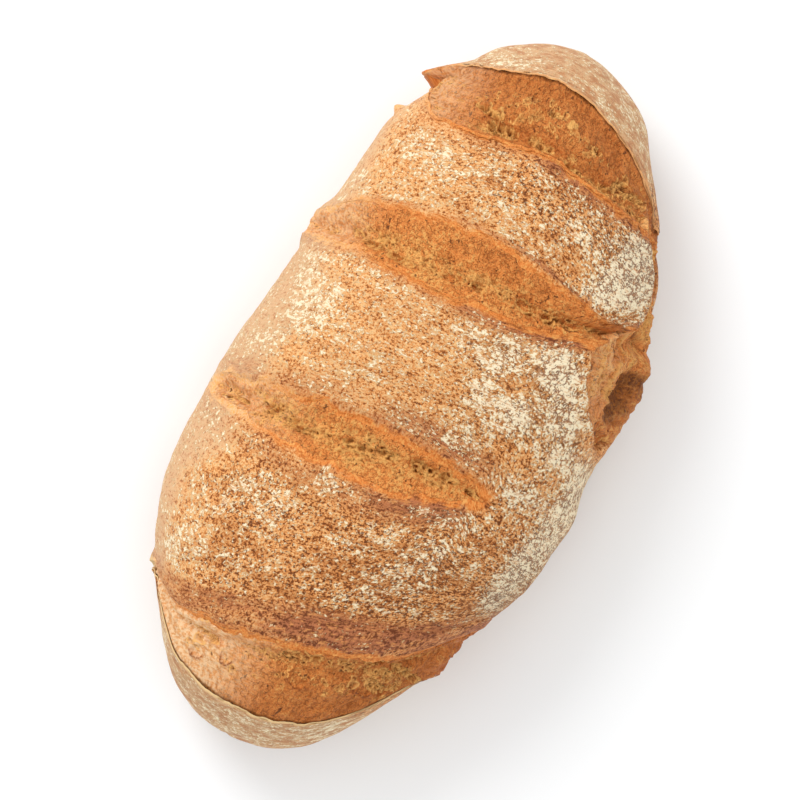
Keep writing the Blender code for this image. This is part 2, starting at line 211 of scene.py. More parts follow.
# Relief of the crumb beyond its own section: x, round angle, half length, half turn, height
CRUMB_SWELLS = {
    "toe": ((118, -20, 6, 16, 0.8), (112, 24, 6, 14, 0.9)),
    "third": ((54, 30, 5, 20, 0.8), (42, 90, 7, 12, 1.2)),
    "heel": ((-80, -76, 9, 12, 2.0), (-90, -70, 6, 10, 1.4), (-112, 40, 8, 18, 0.8)),
}

# Hollows torn in the crumb, in plan: x, y, half width along the loaf, half length across it, depth
HOLLOWS = {
    "toe": ((106.5, 26, 1.0, 5.5, 1.3), (102.6, 20.5, 2.4, 5.0, 3.0), (104.6, 4.0, 2.0, 6.0, 2.6),
            (101.6, -8.5, 1.9, 4.6, 2.4), (101.0, -24.0, 2.2, 2.6, 2.2), (105.2, -29.2, 2.3, 2.6, 2.4),
            (104.0, -36.0, 1.3, 3.6, 2.2), (112.0, -14.0, 1.0, 3.0, 0.9), (117.0, 4.0, 1.0, 3.4, 0.8)),
    "heel": ((-100.6, -9.5, 2.2, 3.6, 2.4), (-93.6, -18.4, 2.0, 3.4, 2.2), (-92.1, -30.0, 2.6, 4.8, 2.8),
             (-102.0, -35.2, 2.0, 4.0, 1.8), (-92.8, -43.5, 1.6, 4.6, 2.8), (-97.0, 4.0, 1.8, 3.0, 1.8),
             (-103.0, 19.0, 1.6, 2.6, 1.4), (-115.0, 27.0, 1.6, 2.6, 1.0), (-108.0, 33.0, 1.4, 2.4, 1.0)),
    "middle": ((-32.0, 64.5, 0.7, 2.2, 1.4), (-30.4, 60.5, 0.7, 2.4, 1.4), (-27.7, 47.9, 1.6, 2.4, 1.8),
               (-29.0, 35.5, 1.7, 4.2, 1.8), (-26.0, 13.0, 1.8, 5.0, 1.6), (-23.0, 1.0, 1.7, 3.6, 1.5),
               (-21.5, -13.0, 2.0, 4.5, 1.4), (-20.5, -24.0, 1.7, 3.4, 1.4), (-21.0, -34.0, 1.4, 2.2, 2.2)),
    "third": ((45.4, 12.2, 1.3, 2.0, 2.6), (46.6, 0.5, 1.4, 3.4, 1.8), (48.6, -19.5, 2.2, 4.4, 2.0),
              (48.8, -28.5, 2.2, 3.4, 2.2), (47.6, -37.0, 2.0, 3.4, 2.0), (42.4, 31.0, 1.4, 5.0, 1.4),
              (43.0, 44.0, 1.3, 3.0, 1.4), (45.0, 52.0, 1.2, 2.4, 1.2)),
}
# The hollows' darkness is painted shade in them
HOLLOW_SHADE = {"heel": 0.78, "toe": 0.66, "third": 0.5, "middle": 0.5}  # how dark they are

# Blisters, each a low dish whose rim is torn on the side towards -X, in plan: x, y, radius
BLISTERS = {
    "heel": ((-111.1, -8.7, 4.4), (-103.5, -31.5, 4.0), (-117.0, 19.0, 3.4), (-121.0, 30.0, 2.8)),
    "toe": ((113.0, -22.0, 2.6), (108.0, 12.0, 2.4), (120.0, 14.0, 2.4)),
}
BLISTER_DEPTHS = (0.7, -0.45)  # of its floor and of its rim

# Bubbles in the crumb, in three sizes: mm across, depth, the share of closed crumb, of open crumb and of
# hollows that they take, how dark the painted shade in them is, and how yellow they are
BUBBLES = (
    (3.4, 1.5, 0.006, 0.3, 0.9, 0.35, 1.0),
    (2.1, 1.0, 0.014, 0.45, 0.7, 0.6, 0.75),
    (1.2, 0.55, 0.012, 0.4, 0.3, 0.85, 0.5),
)
BUBBLE_STRETCH = 1.5
BUBBLE_BEND = 0.28  # how far its outline is bent, as a share of its size
BUBBLE_BEND_SIZE = 0.9  # and the size of its bends, likewise
BUBBLE_RIM = 0.14  # height of its rim, as a share of its depth

# Where each crumb is torn open: share of the way across, half width, strength
TORN_OPEN = {
    "heel": ((0.45, 0.2, 0.3), (0.62, 0.1, 1.0)),
    "middle": ((0.5, 0.22, 1.0),),
    "third": ((0.36, 0.15, 1.0),),
    "toe": ((0.1, 0.12, 1.0), (0.45, 0.32, 0.28)),
}
TORN_REACH = 1.6

# More of it, in plan: x, y, half length along the loaf, half width across it, strength
TORN_PATCHES = {
    "toe": ((106, 44, 9, 9, 0.75), (110, 30, 6, 8, 0.5), (112, -32, 6, 8, 0.5)),
    "third": ((42, 50, 8, 12, 0.4), (56, -20, 6, 10, 0.2)),
    "middle": ((-31, 55, 6, 12, 0.6), (-24, 20, 7, 14, 0.2)),
    "heel": ((-108, 10, 12, 16, 0.15), (-94, -36, 11, 16, 0.95), (-112, 36, 8, 14, 0.15)),
}

# Where the crumb is paler towards the +Y flank: y at which that starts and ends, strength
PALE_CRUMB = {"toe": (26, 50, 0.5), "third": (42, 60, 0.6), "middle": (24, 60, 0.45), "heel": (-4, 30, 1.0)}

# How brown the crumb is: a share everywhere, then more of it from one place to another, either along y or
# as a share of the way across the slash. Towards an ear's edge this browning is partly painted shade under
# the ear
BAKED_AND_SHADED_CRUMB = {
    "toe": (0.88, (("y", 30, 52, -0.5), ("across", 0.45, 0.95, 0.5), ("y", 0, -40, 0.3))),
    "third": (0.0, (("y", 30, 0, 0.15), ("across", 0.5, 0.9, 0.2), ("y", 10, -45, 0.3))),
    "heel": (0.1, (("y", 24, -10, 0.8), ("across", 0.3, 0.0, 0.3))),
}
MIDDLE_BAKED = 0.3  # the middle slash's gets browner from its middle to both lips, by this for the whole way
HEEL_RUST = (-42, -54)  # y from which and to which the heel's crumb gets rusty

# The burst in the -Y flank: x places and, at each, the round angle of its upper edge. Columns of the skin
# are pulled to that edge. Below it come a step, a slope and a rim: from and to how many degrees past the
# edge the first two go, and their heights. The curl of the skin above the edge has its angle, reach, height
BURST_PLACES = (8, 21, 34, 49, 63, 80, 94, 108)
BURST_EDGE = (-76, -54, -42, -42, -61, -68, -62, -58)
BURST_COLUMN = -61
BURST_PULL = 46
BURST_PULL_PLACES = (-30, 8, 108, 135)
BURST_FOOT = -112
BURST_FOOT_TURN = 14
BURST_STEP = (0.5, -2.5, -2.0)
BURST_SLOPE = (-2.0, -18.0, -1.0)
BURST_RIM_ANGLES = (-76, -86)
BURST_RIM_HEIGHT = 0.4
BURST_CURL = (2.0, 6.0, 0.8)
BURST_PATCHES = (
    (38, -70, 12, 8, -3.4), (54, -58, 4, 8, -3.5), (43, -86, 14, 8, 2.0), (57, -72, 4, 16, -3.0),
    (88, -74, 12, 8, -2.0),
)
BURST_RAGGED = (1.5, 5.0)  # degrees by which its edge is torn off its line, and how long such a tear is
BURST_SKIN_DROP = 3.0  # the skin's floor lies this far below the torn flank
BURST_END = -95.0  # round angle at which the patch of crumb in it ends
BURST_FRAY = (3.5, 12.0)  # degrees by which that end is uneven, and over what length
BURST_SLANT = (0.3, -74)  # its sides draw in by so many mm for each degree below this one,
BURST_SIDE_RAGGED = (1.6, 6.0)  # and are uneven by so many mm over so many degrees
BURST_OPENS = (0.25, 0.6)  # shares of its depth over which it tears open at its sides
BURST_ARC = 56  # mm of crumb down the flank
BURST_TUCK = 3.0  # mm and degrees by which the crumb starts within the burst's sides and below its skin edge
BURST_SKIN_FALLS = (0.2, -1.4)  # degrees past the edge over which the skin drops to its floor,
BURST_SKIN_RISES = (2.0, 6.0)  # and before the crumb's end over which it comes up again
BURST_CRUMB_BELOW = 0.3  # how far the crumb lies below the torn flank
# Clefts and ridges in it, in plan: x and y of both ends, half width, depth, and how dark they are.
# The darkness is painted shade, and where it is negative a ridge turns gold instead
BURST_CLEFTS = (
    (57.0, -54.0, 49.0, -58.0, 1.5, 2.6, 1.3),
    (28.0, -69.4, 45.5, -69.0, 3.0, 1.3, 1.3),
    (24.0, -66.0, 20.0, -70.0, 1.6, 1.0, 0.4),
    (66.0, -60.0, 60.0, -64.0, 1.3, 1.6, 0.7),
    (47.5, -60.5, 33.0, -62.0, 0.8, -1.3, -0.8),
    (60.0, -57.5, 52.0, -62.5, 0.8, -1.2, -0.7),
    (52.0, -52.0, 40.0, -54.0, 0.7, -0.8, -0.4),
)
CLEFT_REACHES = (1.4, 1.2)  # how far a cleft's depth and its darkness go, in its half widths
CLEFT_BEND = (0.8, 3.0)  # mm by which it strays from its line, and over what length

# Fineness of the meshes
TOP_STEP = 1.05  # degrees between the skin's columns on top
TOP_ANGLE = 112
BASE_COLUMNS = 22
CAP_ROWS = 32
BAND_STEP = 1.05
CRUMB_STEP = 0.4
CRUMB_ENDS_EARLY = 0.5  # degrees before its slash's ends

# The skin's map: weight of the underside, share that hidden skin loses, mm that each row gets at least, and
# the strip left for each nose
MAP_SHARE_OF_BASE = 0.55
MAP_LOST_IF_HIDDEN = 0.8
MAP_LEAST = 0.1
MAP_AT_NOSES = 0.01

# Flour in plan: x, y, half length along the loaf, half width across it, cover
FLOUR = (
    (75, -50, 12, 11, 1.0), (88, -48, 8, 9, 0.95), (84, -35, 9, 9, 0.42), (67, -40, 8, 9, 0.7),
    (83, -18, 8, 9, 0.2), (88, 2, 7, 9, 0.1), (83, 32, 6, 9, 0.3), (81, 44, 8, 8, 0.24), (72, 30, 5, 8, 0.2),
    (32, -41, 10, 12, 0.95), (20, -50, 8, 9, 0.8), (30, -18, 9, 9, 0.6), (28, -5, 8, 6, 0.3),
    (12, -35, 9, 10, 0.72), (8, -54, 9, 9, 0.7), (14, -18, 9, 8, 0.5), (-2, -22, 8, 9, 0.4),
    (-5, -68, 14, 8, 1.0), (-24, -66, 12, 7, 0.9), (-38, -62, 11, 7, 0.9), (-52, -59, 9, 6, 0.8),
    (-13, -52, 8, 9, 0.5), (8, 52, 10, 9, 0.36), (-6, 60, 9, 7, 0.3), (18, 46, 8, 9, 0.34),
    (24, 60, 7, 6, 0.3), (-61, 29, 7, 7, 0.12), (-56, 46, 7, 7, 0.14), (-86, 53, 8, 6, 0.3),
    (-42, 16, 6, 8, 0.14), (-46, -34, 9, 13, 0.26), (-31, -24, 7, 13, 0.5), (-62, -24, 9, 14, 0.2),
    (132, -33, 12, 16, 0.36), (128, 41, 12, 14, 0.2), (136, 4, 12, 30, 0.1), (118, -47, 8, 10, 0.5),
    (-128, -31, 12, 12, 0.4), (-122, 43, 14, 14, 0.22), (-138, 6, 10, 30, 0.3), (-102, 58, 10, 8, 0.25),
)
FLOUR_EVERYWHERE = 0.28
FLOUR_REACH = 1.55
FLOUR_LOST = {"at edges": 0.92, "on mauve by the heel": 0.92, "on mauve elsewhere": 0.3}
HEEL_MAUVE_BELOW = -70  # x up to which mauve skin is the heel's
FLANK_LOOKS = (84, 108)  # degrees from the crown over which the flanks take on a look of their own
FLANK_DRIFTS = (0.3, 0.4, 20.0)  # flour on the flanks: its mean, how much it varies, and over what length
FLANK_DRIFT_LIMITS = (0.05, 0.85)

# How hard the skin is baked: a share everywhere, then strength, x and y from which and to which it sets in.
# Its rise towards -Y and the heel is partly painted shade, its fall towards +Y partly painted light
BAKED_EVERYWHERE = 0.35
ANY_X = (-400, -399)  # set in before the loaf begins
BAKED_AND_SHADED_SKIN = (
    (0.35, ANY_X, (30, -40)),
    (-0.35, ANY_X, (42, 68)),
    (0.4, (0, -70), (66, 30)),
    (0.3, (70, 84), (40, 12)),
)
BAKED_STRAYS = (6.0, 16.0)  # mm by which it strays in y, and over what length
# On the flanks it falls towards +Y, which is partly painted light
FLANK_BAKED_AND_SHADED = (0.4, -0.22, (-10, 30), 0.26, 24.0)  # mean, change over these y, change at random, its length
PALE_SKIN = (34, 62, 0.7)  # y from which and to which the skin gets pale, and the share lost on the flanks
CAP_SKIN = ((-104, -122), (106, 120))  # x from which and to which the skin is that of the end caps
UNDER_SKIN = (92, 122)  # angles from which and to which it is that of the underside
HORN_TORN = (0.1, 0.35)  # shares of a horn over which its skin gets torn,
HORN_PLAIN = (0.05, 0.3)  # loses its paleness
HORN_SEEN = (0.02, 0.2, 0.85)  # and comes out into the light, by the last share

# Mauve skin, stretched and baked hard: how far it goes below and above a slash
MAUVE = (("middle", 12.0, 11.0), ("third", 5.0, 1.8), ("toe", 7.0, 0.1))
MAUVE_STARTS = 1.0  # mm from the lip at which it is strongest
MAUVE_BY_HEEL = ((-16, -9), (9.0, 2.0))  # it sets in and ends over these, in mm from the heel's upper lip
MAUVE_ACROSS = (25, -20, 0.35)  # y from which and to which it gets stronger, and its least strength
MAUVE_FADES_BY_HEEL = (8, 44, 0.55)  # y from which and to which it fades by this share

# Photograph's view: a camera straight above, turned so that the toe points up and to the right
VIEW_TURN = 62.07
VIEW_SCALE = 0.3784  # mm for each pixel of 800, at VIEW_LEVEL
VIEW_LEVEL = 38.0
VIEW_MIDDLE = (-3.0, 6.8)
VIEW_HEIGHT = 1300.0
SENSOR = 36.0
FRAME_PIXELS = 800

# Light and floor, in metres. The key light's place is along the picture's right and up, and above the floor
KEY_PLACE = (-0.5, 0.85, 0.95)
KEY_SIZE = 0.7
KEY_POWER = 8.5
KEY_AIM = (0.0, 0.0, 0.04)
SKY_STRENGTH = 1.06
FLOOR_COLOUR = (0.87, 0.885, 0.895, 1.0)
FLOOR_REACH = 3.0
FLOOR_DROP = 0.0003


# ---------------------------------------------------------------- curves and noise
def smoothstep(low, high, at):
    share = np.clip((at - low) / (high - low), 0.0, 1.0)
    return share * share * (3.0 - 2.0 * share)


def smooth_through(places, values, at):
    """A smooth curve through named values: cubic pieces whose slope at a place leans on its neighbours."""
    places = np.asarray(places, float)
    values = np.asarray(values, float)
    slopes = np.gradient(values, places)
    index = np.clip(np.searchsorted(places, at) - 1, 0, len(places) - 2)
    span = places[index + 1] - places[index]
    t = np.clip((at - places[index]) / span, 0.0, 1.0)
    rise = t * t * (3.0 - 2.0 * t)
    return (values[index] * (1.0 - rise) + values[index + 1] * rise
            + span * t * (1.0 - t) * ((1.0 - t) * slopes[index] - t * slopes[index + 1]))


def mound(offset, reach):
    """1 in the middle, 0 from the reach on, with a round top."""
    return np.clip(1.0 - (offset / reach) ** 2, 0.0, 1.0) ** 2


def lattice(cells, seed):
    """A repeatable number from 0 to 1 for each whole-numbered cell."""
    mixed = np.full(cells.shape[:-1], seed * SEED_FACTOR % 2**32, np.uint64)
    for axis, factor in enumerate(AXIS_FACTORS[: cells.shape[-1]]):
        mixed = (mixed + cells[..., axis].astype(np.int64).astype(np.uint64) * np.uint64(factor)) % 2**32
        mixed = ((mixed ^ (mixed >> np.uint64(13))) * np.uint64(STIR_FACTOR)) % 2**32
    return ((mixed ^ (mixed >> np.uint64(16))) % 2**24).astype(float) / 2**24


def noise(points, seed):
    """Smooth noise from -1 to 1 over points of one to three coordinates, with cells of size 1."""
    cell = np.floor(points)
    part = points - cell
    part = part * part * (3.0 - 2.0 * part)
    total = np.zeros(points.shape[:-1])
    for corner in np.ndindex(*(2,) * points.shape[-1]):
        weight = np.ones(points.shape[:-1])
        for axis, side in enumerate(corner):
            weight = weight * (part[..., axis] if side else 1.0 - part[..., axis])
        total += weight * lattice(cell + np.array(corner), seed)
    return 2.0 * total - 1.0


def layered(points, size, layers, seed):
    """Noise in layers, each half the size and half the strength of the last."""
    total, strength = 0.0, 1.0
    for layer in range(layers):
        total = total + strength * noise(points * (2.0**layer / size), seed + layer)
        strength *= 0.5
    return total


def ridged(points, size, layers, seed):
    """Noise with sharp crests, from -1 to 1."""
    return 1.0 - 2.0 * np.abs(np.clip(layered(points, size, layers, seed), -1.0, 1.0))


def strays(points, size, layers, seeds, apart):
    """Pairs of noise that bend a texture. The second is drawn so far apart from the first."""
    first = layered(points, size, layers, seeds[0])
    second = layered(points + apart, size, layers, seeds[1])
    return np.stack([first, second], -1)


def off_middle(x, y, middle_x, middle_y, half_x, half_y):
    """How far places lie off the middle of an oval, 1 on its outline."""
    return np.hypot((x - middle_x) / half_x, (y - middle_y) / half_y)


def cells_2d(points, seed):
    """How far the walls between scattered cells are, 0 at a wall, and each cell's own number."""
    cell = np.floor(points)
    nearest = np.full(points.shape[:-1], FAR)
    second = nearest.copy()
    own = np.zeros_like(nearest)
    for step in np.ndindex(3, 3):
        there = cell + np.array(step) - 1.0
        jitter = np.stack([lattice(there, seed), lattice(there, seed + 1)], axis=-1)
        distance = np.linalg.norm(there + jitter - points, axis=-1)
        closer = distance < nearest
        second = np.where(closer, nearest, np.minimum(second, distance))
        own = np.where(closer, lattice(there, seed + 2), own)
        nearest = np.where(closer, distance, nearest)
    return second - nearest, own


# ---------------------------------------------------------------- shape of the loaf
def centre_line(x):
    return smooth_through(CENTRE_PLACES, CENTRE_LINE, x)


def x_of(along):
    return 0.5 * LENGTH * np.sin(np.radians(along))


def angle_of(x):
    return np.degrees(np.arcsin(np.clip(x / (0.5 * LENGTH), -1.0, 1.0)))


def dome(along, round_angle):
    """Points of the unslashed skin at two arrays of angles."""
    reach = np.abs(np.sin(np.radians(along)))
    across = np.sin(np.radians(round_angle))
    up = np.cos(np.radians(round_angle))
    x = x_of(along)
    plan = np.sqrt(1.0 - reach**PLAN_POWER) * (1.0 - TOE_NARROWING * smoothstep(*TOE_NARROWS, x))
    crown = np.sqrt(1.0 - reach**TOP_POWER)
    foot = (1.0 - reach**FOOT_LENGTH_POWER) ** (1.0 / FOOT_NOSE_POWER)
    power = np.where(up > 0.0, 2.0 / DOME_POWER, 2.0 / FOOT_POWER)
    side = np.sign(across) * np.abs(across) ** power
    height = np.abs(up) ** power
    y = centre_line(x) + 0.5 * WIDTH * plan * side
    above = (HEIGHT - WAIST_HEIGHT) * crown * height
    below = WAIST_HEIGHT * FOOT_REACH * foot * height
    z = WAIST_HEIGHT + np.where(up > 0.0, above, -below)
    return np.stack([x, y, np.maximum(z, 0.0)], axis=-1)


def outward(along, round_angle):
    """Unit normals of the dome, by stepping a little along it and round it."""
    step = 0.05
    clipped = np.clip(along, NOSE_CLEARANCE - 90.0, 90.0 - NOSE_CLEARANCE)
    ahead = dome(clipped + step, round_angle) - dome(clipped - step, round_angle)
    turn = dome(clipped, round_angle + step) - dome(clipped, round_angle - step)
    normal = np.cross(ahead, turn)
    size = np.linalg.norm(normal, axis=-1, keepdims=True)
    return normal / np.maximum(size, 1e-12)


def patches(places, x, round_angle):
    """Height of a list of round patches, each fading out at its edge."""
    total = np.zeros_like(x)
    for middle, angle, half_length, half_turn, height in places:
        off = off_middle(x, round_angle, middle, angle, half_length, half_turn)
        total = total + height * mound(off, PATCH_REACH)
    return total


def ground(along, round_angle):
    """Relief that skin and crumb share: slow waves, dents and swells, and small lumps."""
    x = x_of(along)
    waves = sum(height * np.sin(x / length + turns * np.radians(round_angle) + phase)
                for length, turns, phase, height in WAVES)
    lump_height, lump_size = LUMPS
    lumps = lump_height * layered(dome(along, round_angle), lump_size, 2, SEEDS["lumps"])
    return waves + patches(SWELLS, x, round_angle) + lumps


def lip_place(slash, side, round_angle):
    """Where one lip of a slash lies along the loaf at each angle round it."""
    rest = SLASHES[slash]["rest"] + 0.5 * REST_GAP * OUTWARD[side]
    places = (-180, -REST_ANGLE, *LIP_ANGLES, REST_ANGLE, 180)
    values = (rest, rest, *SLASHES[slash][side], rest, rest)
    return smooth_through(places, values, round_angle)


def openness(slash, round_angle):
    """1 where a slash stands open, 0 where the skin is whole."""
    low, high = SLASHES[slash]["ends"]
    return (smoothstep(low, low + CLOSING_ANGLE, round_angle)
            * smoothstep(-high, CLOSING_ANGLE - high, -round_angle))


def slash_gap(slash, round_angle):
    """How far the lips of a slash stand apart, as a share of the whole way."""
    return openness(slash, round_angle) ** GAP_POWER


def edge_line(slash, index, round_angle):
    """Where the skin ends beside a slash, torn a little unevenly."""
    kind, share, _ = SLASHES[slash]["edges"][index]
    lower = lip_place(slash, "lower", round_angle)
    upper = lip_place(slash, "upper", round_angle)
    gap = slash_gap(slash, round_angle)
    share = 0.5 + (share - 0.5) * gap
    seed = SEEDS["edges"] + 2 * list(SLASHES).index(slash) + index
    arc = (round_angle * DEGREE_LENGTH)[..., None]
    ragged = layered(arc, EDGE_RAGGED_SIZE, 4, seed) * EDGE_RAGGED[kind] * smoothstep(0.0, 0.5, gap)
    return lower + (upper - lower) * share + ragged


def skin_relief(slash, x, round_angle):
    """Height of the skin inside a slash's lips."""
    lower = lip_place(slash, "lower", round_angle)
    upper = lip_place(slash, "upper", round_angle)
    places, heights = zip(*SLASHES[slash]["skin"])
    share = (x - lower) / (upper - lower)
    return smooth_through(places, heights, np.clip(share, 0.0, 1.0)) * openness(slash, round_angle)


def horn_shift(along, round_angle):
    """How far the horns draw skin and crumb out, as vectors, and the share of the longest one's length."""
    shift = np.zeros((*round_angle.shape, 3))
    share = np.zeros_like(round_angle)
    for slash, side, place, lead, length in HORNS:
        past = (round_angle - place) * np.sign(place)
        tip = np.where(past < 0.0, np.clip(1.0 + past / lead, 0.0, 1.0) ** HORN_POWER,
                       np.clip(1.0 - past / HORN_FALL, 0.0, 1.0))
        apart = (along - angle_of(lip_place(slash, side, round_angle))) * OUTWARD[side]
        near = np.where(apart > 0.0, mound(apart, HORN_BACK), mound(apart, HORN_FRONT))
        direction = np.array([-HORN_LEAN, np.sign(place) * math.sqrt(1.0 - HORN_LEAN**2), 0.0])
        shift = shift + (length * tip * near)[..., None] * direction
        share = np.maximum(share, tip * near * smoothstep(0.0, HORN_WHOLE, length))
    return shift, share


def burst_edge(x):
    """Round angle at which the skin ends above the burst."""
    depth, size = BURST_RAGGED
    edge = smooth_through(BURST_PLACES, BURST_EDGE, np.clip(x, BURST_PLACES[0], BURST_PLACES[-1]))
    return edge + depth * layered(x[..., None], size, 3, SEEDS["burst edge"])


def burst_share(x):
    return (smoothstep(BURST_PLACES[0], BURST_PLACES[1], x)
            * smoothstep(-BURST_PLACES[-1], -BURST_PLACES[-2], -x))


def burst_end(x):
    """Round angle at which the crumb in the burst ends."""
    depth, size = BURST_FRAY
    return BURST_END + depth * layered(x[..., None], size, 2, SEEDS["burst end"])


def burst_open(x, round_angle):
    """1 where the flank is torn open, 0 past its sides, which are ragged and slant down the flank."""
    rate, top = BURST_SLANT
    depth, size = BURST_SIDE_RAGGED
    ragged = depth * layered(round_angle[..., None], size, 3, SEEDS["burst side"])
    drawn_in = rate * np.clip(top - round_angle, 0.0, None) + ragged
    middle = 0.5 * (BURST_PLACES[0] + BURST_PLACES[-1])
    return smoothstep(*BURST_OPENS, burst_share(x - drawn_in * np.sign(middle - x)))


def clefts(plan):
    """Depth and darkness of the clefts and ridges in the burst; the darkness is painted shade, and gold where
    negative.
    """
    depth = np.zeros(plan.shape[:-1])
    dark = np.zeros(plan.shape[:-1])
    depth_reach, dark_reach = CLEFT_REACHES
    bend, bend_size = CLEFT_BEND
    seeds = (SEEDS["clefts"], SEEDS["clefts"] + 1)
    bent = plan + bend * strays(plan, bend_size, 3, seeds, 9.0)
    for start_x, start_y, end_x, end_y, half, deep, darkness in BURST_CLEFTS:
        start = np.array([start_x, start_y])
        run = np.array([end_x - start_x, end_y - start_y])
        share = np.clip((bent - start) @ run / (run @ run), 0.0, 1.0)
        off = np.linalg.norm(bent - start - share[..., None] * run, axis=-1) / half
        depth = depth + deep * mound(off, depth_reach)
        dark = dark + darkness * mound(off, dark_reach)
    return depth, dark


def make_room_for_burst(along, round_angle):
    """Moves the columns near the burst so that one of them follows its upper edge."""
    x = x_of(along)
    start, whole, fading, end = BURST_PULL_PLACES
    share = smoothstep(start, whole, x) * smoothstep(-end, -fading, -x)
    pull = (burst_edge(x) - BURST_COLUMN) * share
    near = np.cos(np.clip((round_angle - BURST_COLUMN) / BURST_PULL, -1.0, 1.0) * 0.5 * np.pi) ** 2
    return round_angle + pull * near


def burst_relief(x, round_angle):
    """Height of the torn flank over the dome: negative in the tear, positive on its rim."""
    past_edge = round_angle - burst_edge(x)
    start, end, drop = BURST_STEP
    foot = smoothstep(BURST_FOOT, BURST_FOOT + BURST_FOOT_TURN, round_angle)
    torn = smoothstep(start, end, past_edge) * foot
    slope_start, slope_end, slope_drop = BURST_SLOPE
    wall = drop + slope_drop * smoothstep(slope_start, slope_end, past_edge)
    rim = smoothstep(*BURST_RIM_ANGLES, round_angle)
    relief = wall * (1.0 - rim) + BURST_RIM_HEIGHT * rim + patches(BURST_PATCHES, x, round_angle)
    return burst_share(x) * torn * relief


def lifted(along, round_angle, lift):
    """Points that stand a height over the dome, faded out where the loaf turns under to its base."""
    whole = 1.0 - smoothstep(*FLANK_TURN, np.abs(round_angle))
    points = dome(along, round_angle) + outward(along, round_angle) * (lift * whole)[..., None]
    points = points + horn_shift(along, round_angle)[0]
    points[..., 2] = np.maximum(points[..., 2], 0.0)
    return points + np.array([*BOX_SHIFT, 0.0])


# ---------------------------------------------------------------- meshes from grids
def add_mesh(name, points, faces, corner_uvs, values):
    """An object from points in millimetres, faces as lists of corners, and named values at its points."""
    mesh = bpy.data.meshes.new(name)
    mesh.vertices.add(len(points))
    mesh.vertices.foreach_set("co", (points * MM).astype(np.float32).ravel())
    sizes = np.array([len(face) for face in faces])
    corners = np.concatenate([np.asarray(face, np.int32) for face in faces])
    mesh.loops.add(len(corners))
    mesh.loops.foreach_set("vertex_index", corners)
    mesh.polygons.add(len(faces))
    mesh.polygons.foreach_set("loop_start", np.concatenate([[0], np.cumsum(sizes)[:-1]]).astype(np.int32))
    mesh.uv_layers.new(name="OFBake").uv.foreach_set("vector", corner_uvs.astype(np.float32).ravel())
    for label, value in values.items():
        kind = "FLOAT_VECTOR" if value.ndim == 2 else "FLOAT"
        layer = mesh.attributes.new(label, kind, "POINT")
        layer.data.foreach_set("vector" if value.ndim == 2 else "value", value.astype(np.float32).ravel())
    mesh.update(calc_edges=True)
    mesh.validate()
    mesh.shade_smooth()
    piece = bpy.data.objects.new(name, mesh)
    bpy.context.scene.collection.objects.link(piece)
    return piece


def dress(piece, material):
    piece.data.materials.append(material)
    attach(piece, "root")
    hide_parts("loaf")


def corner_values(rows, columns, row_value, column_value):
    """The values of a grid's quads at their four corners, as pairs (column value, row value)."""
    row, column = np.meshgrid(np.arange(rows), np.arange(columns), indexing="ij")
    across = np.stack([column_value[column], column_value[column],
                       column_value[column + 1], column_value[column + 1]], -1)
    down = np.stack([row_value[row], row_value[row + 1], row_value[row + 1], row_value[row]], -1)
    return np.stack([across, down], -1).reshape(-1, 2)


# ---------------------------------------------------------------- skin
def skin_columns():
    """Angles round the loaf, close on top and sparse under it."""
    top = np.linspace(-TOP_ANGLE, TOP_ANGLE, int(2 * TOP_ANGLE / TOP_STEP) + 1)
    base = np.linspace(TOP_ANGLE, 360.0 - TOP_ANGLE, BASE_COLUMNS + 2)[1:-1]
    base = np.where(base > 180.0, base - 360.0, base)
    return np.sort(np.concatenate([top, base]))


def edge_looks(slash, index, x, round_angle):
    """For skin beside a slash's edge: how torn it looks, how free it is of flour, and its bright rim."""
    kind, _, bare = SLASHES[slash]["edges"][index]
    distance = (edge_line(slash, index, round_angle) - x) * INWARD[index]
    gap = smoothstep(*LOOKS_SET_IN, slash_gap(slash, round_angle)) * smoothstep(*LOOKS_END, distance)
    width = smooth_through(LIP_ANGLES, bare, np.clip(round_angle, LIP_ANGLES[0], LIP_ANGLES[-1]))
    least, by_bare = STRETCH_LIMIT
    reach = np.minimum(EDGE_STRETCH[kind], least + by_bare * width)
    torn = smoothstep(reach, 0.05 * reach, distance) * gap
    past, share = FLOUR_STARTS
    free = smoothstep(width + past, share * width, distance) * gap
    bright = EDGE_BRIGHT.get(slash, 0.0) * (index == EAR_SIDE.get(slash))
    return torn, free, smoothstep(*RIM_WIDTHS, distance) * gap * bright


def skin_rows(round_angle):
    """Rows from nose to nose: angle along the loaf, height, 1 below the skin, 1 where it runs by a slash."""
    rows = []
    shut = np.zeros_like(round_angle)
    behind = np.full_like(round_angle, -0.5 * LENGTH)
    open_behind = openness("heel", round_angle)
    for slash in SLASHES:
        lower = lip_place(slash, "lower", round_angle)
        open_ahead = openness(slash, round_angle)
        is_cap = slash == "heel"
        count = CAP_ROWS if is_cap else int((lower - behind).max() / BAND_STEP)
        for share in np.linspace(0.0, 1.0, count + 2)[1:-1]:
            angle = angle_of(behind) + (angle_of(lower) - angle_of(behind)) * share
            ear = SLASHES[slash]["skin"][0][1] * mound(1.0 - share, EAR_REACH) * open_ahead
            rise = ear if is_cap else BAND_PILLOW * (1.0 - (2.0 * share - 1.0) ** 2)
            rows.append((angle, shut + rise, shut, open_behind + (open_ahead - open_behind) * share))
        rows += slash_rows(slash, round_angle)
        behind, open_behind = lip_place(slash, "upper", round_angle), open_ahead
    for share in np.linspace(0.0, 1.0, CAP_ROWS + 2)[1:-1]:
        angle = angle_of(behind) + (90.0 - angle_of(behind)) * share
        ear = SLASHES[slash]["skin"][-1][1] * mound(share, EAR_REACH) * open_behind
        rows.append((angle, shut + ear, shut, open_behind))
    return [np.array(part) for part in zip(*rows)]


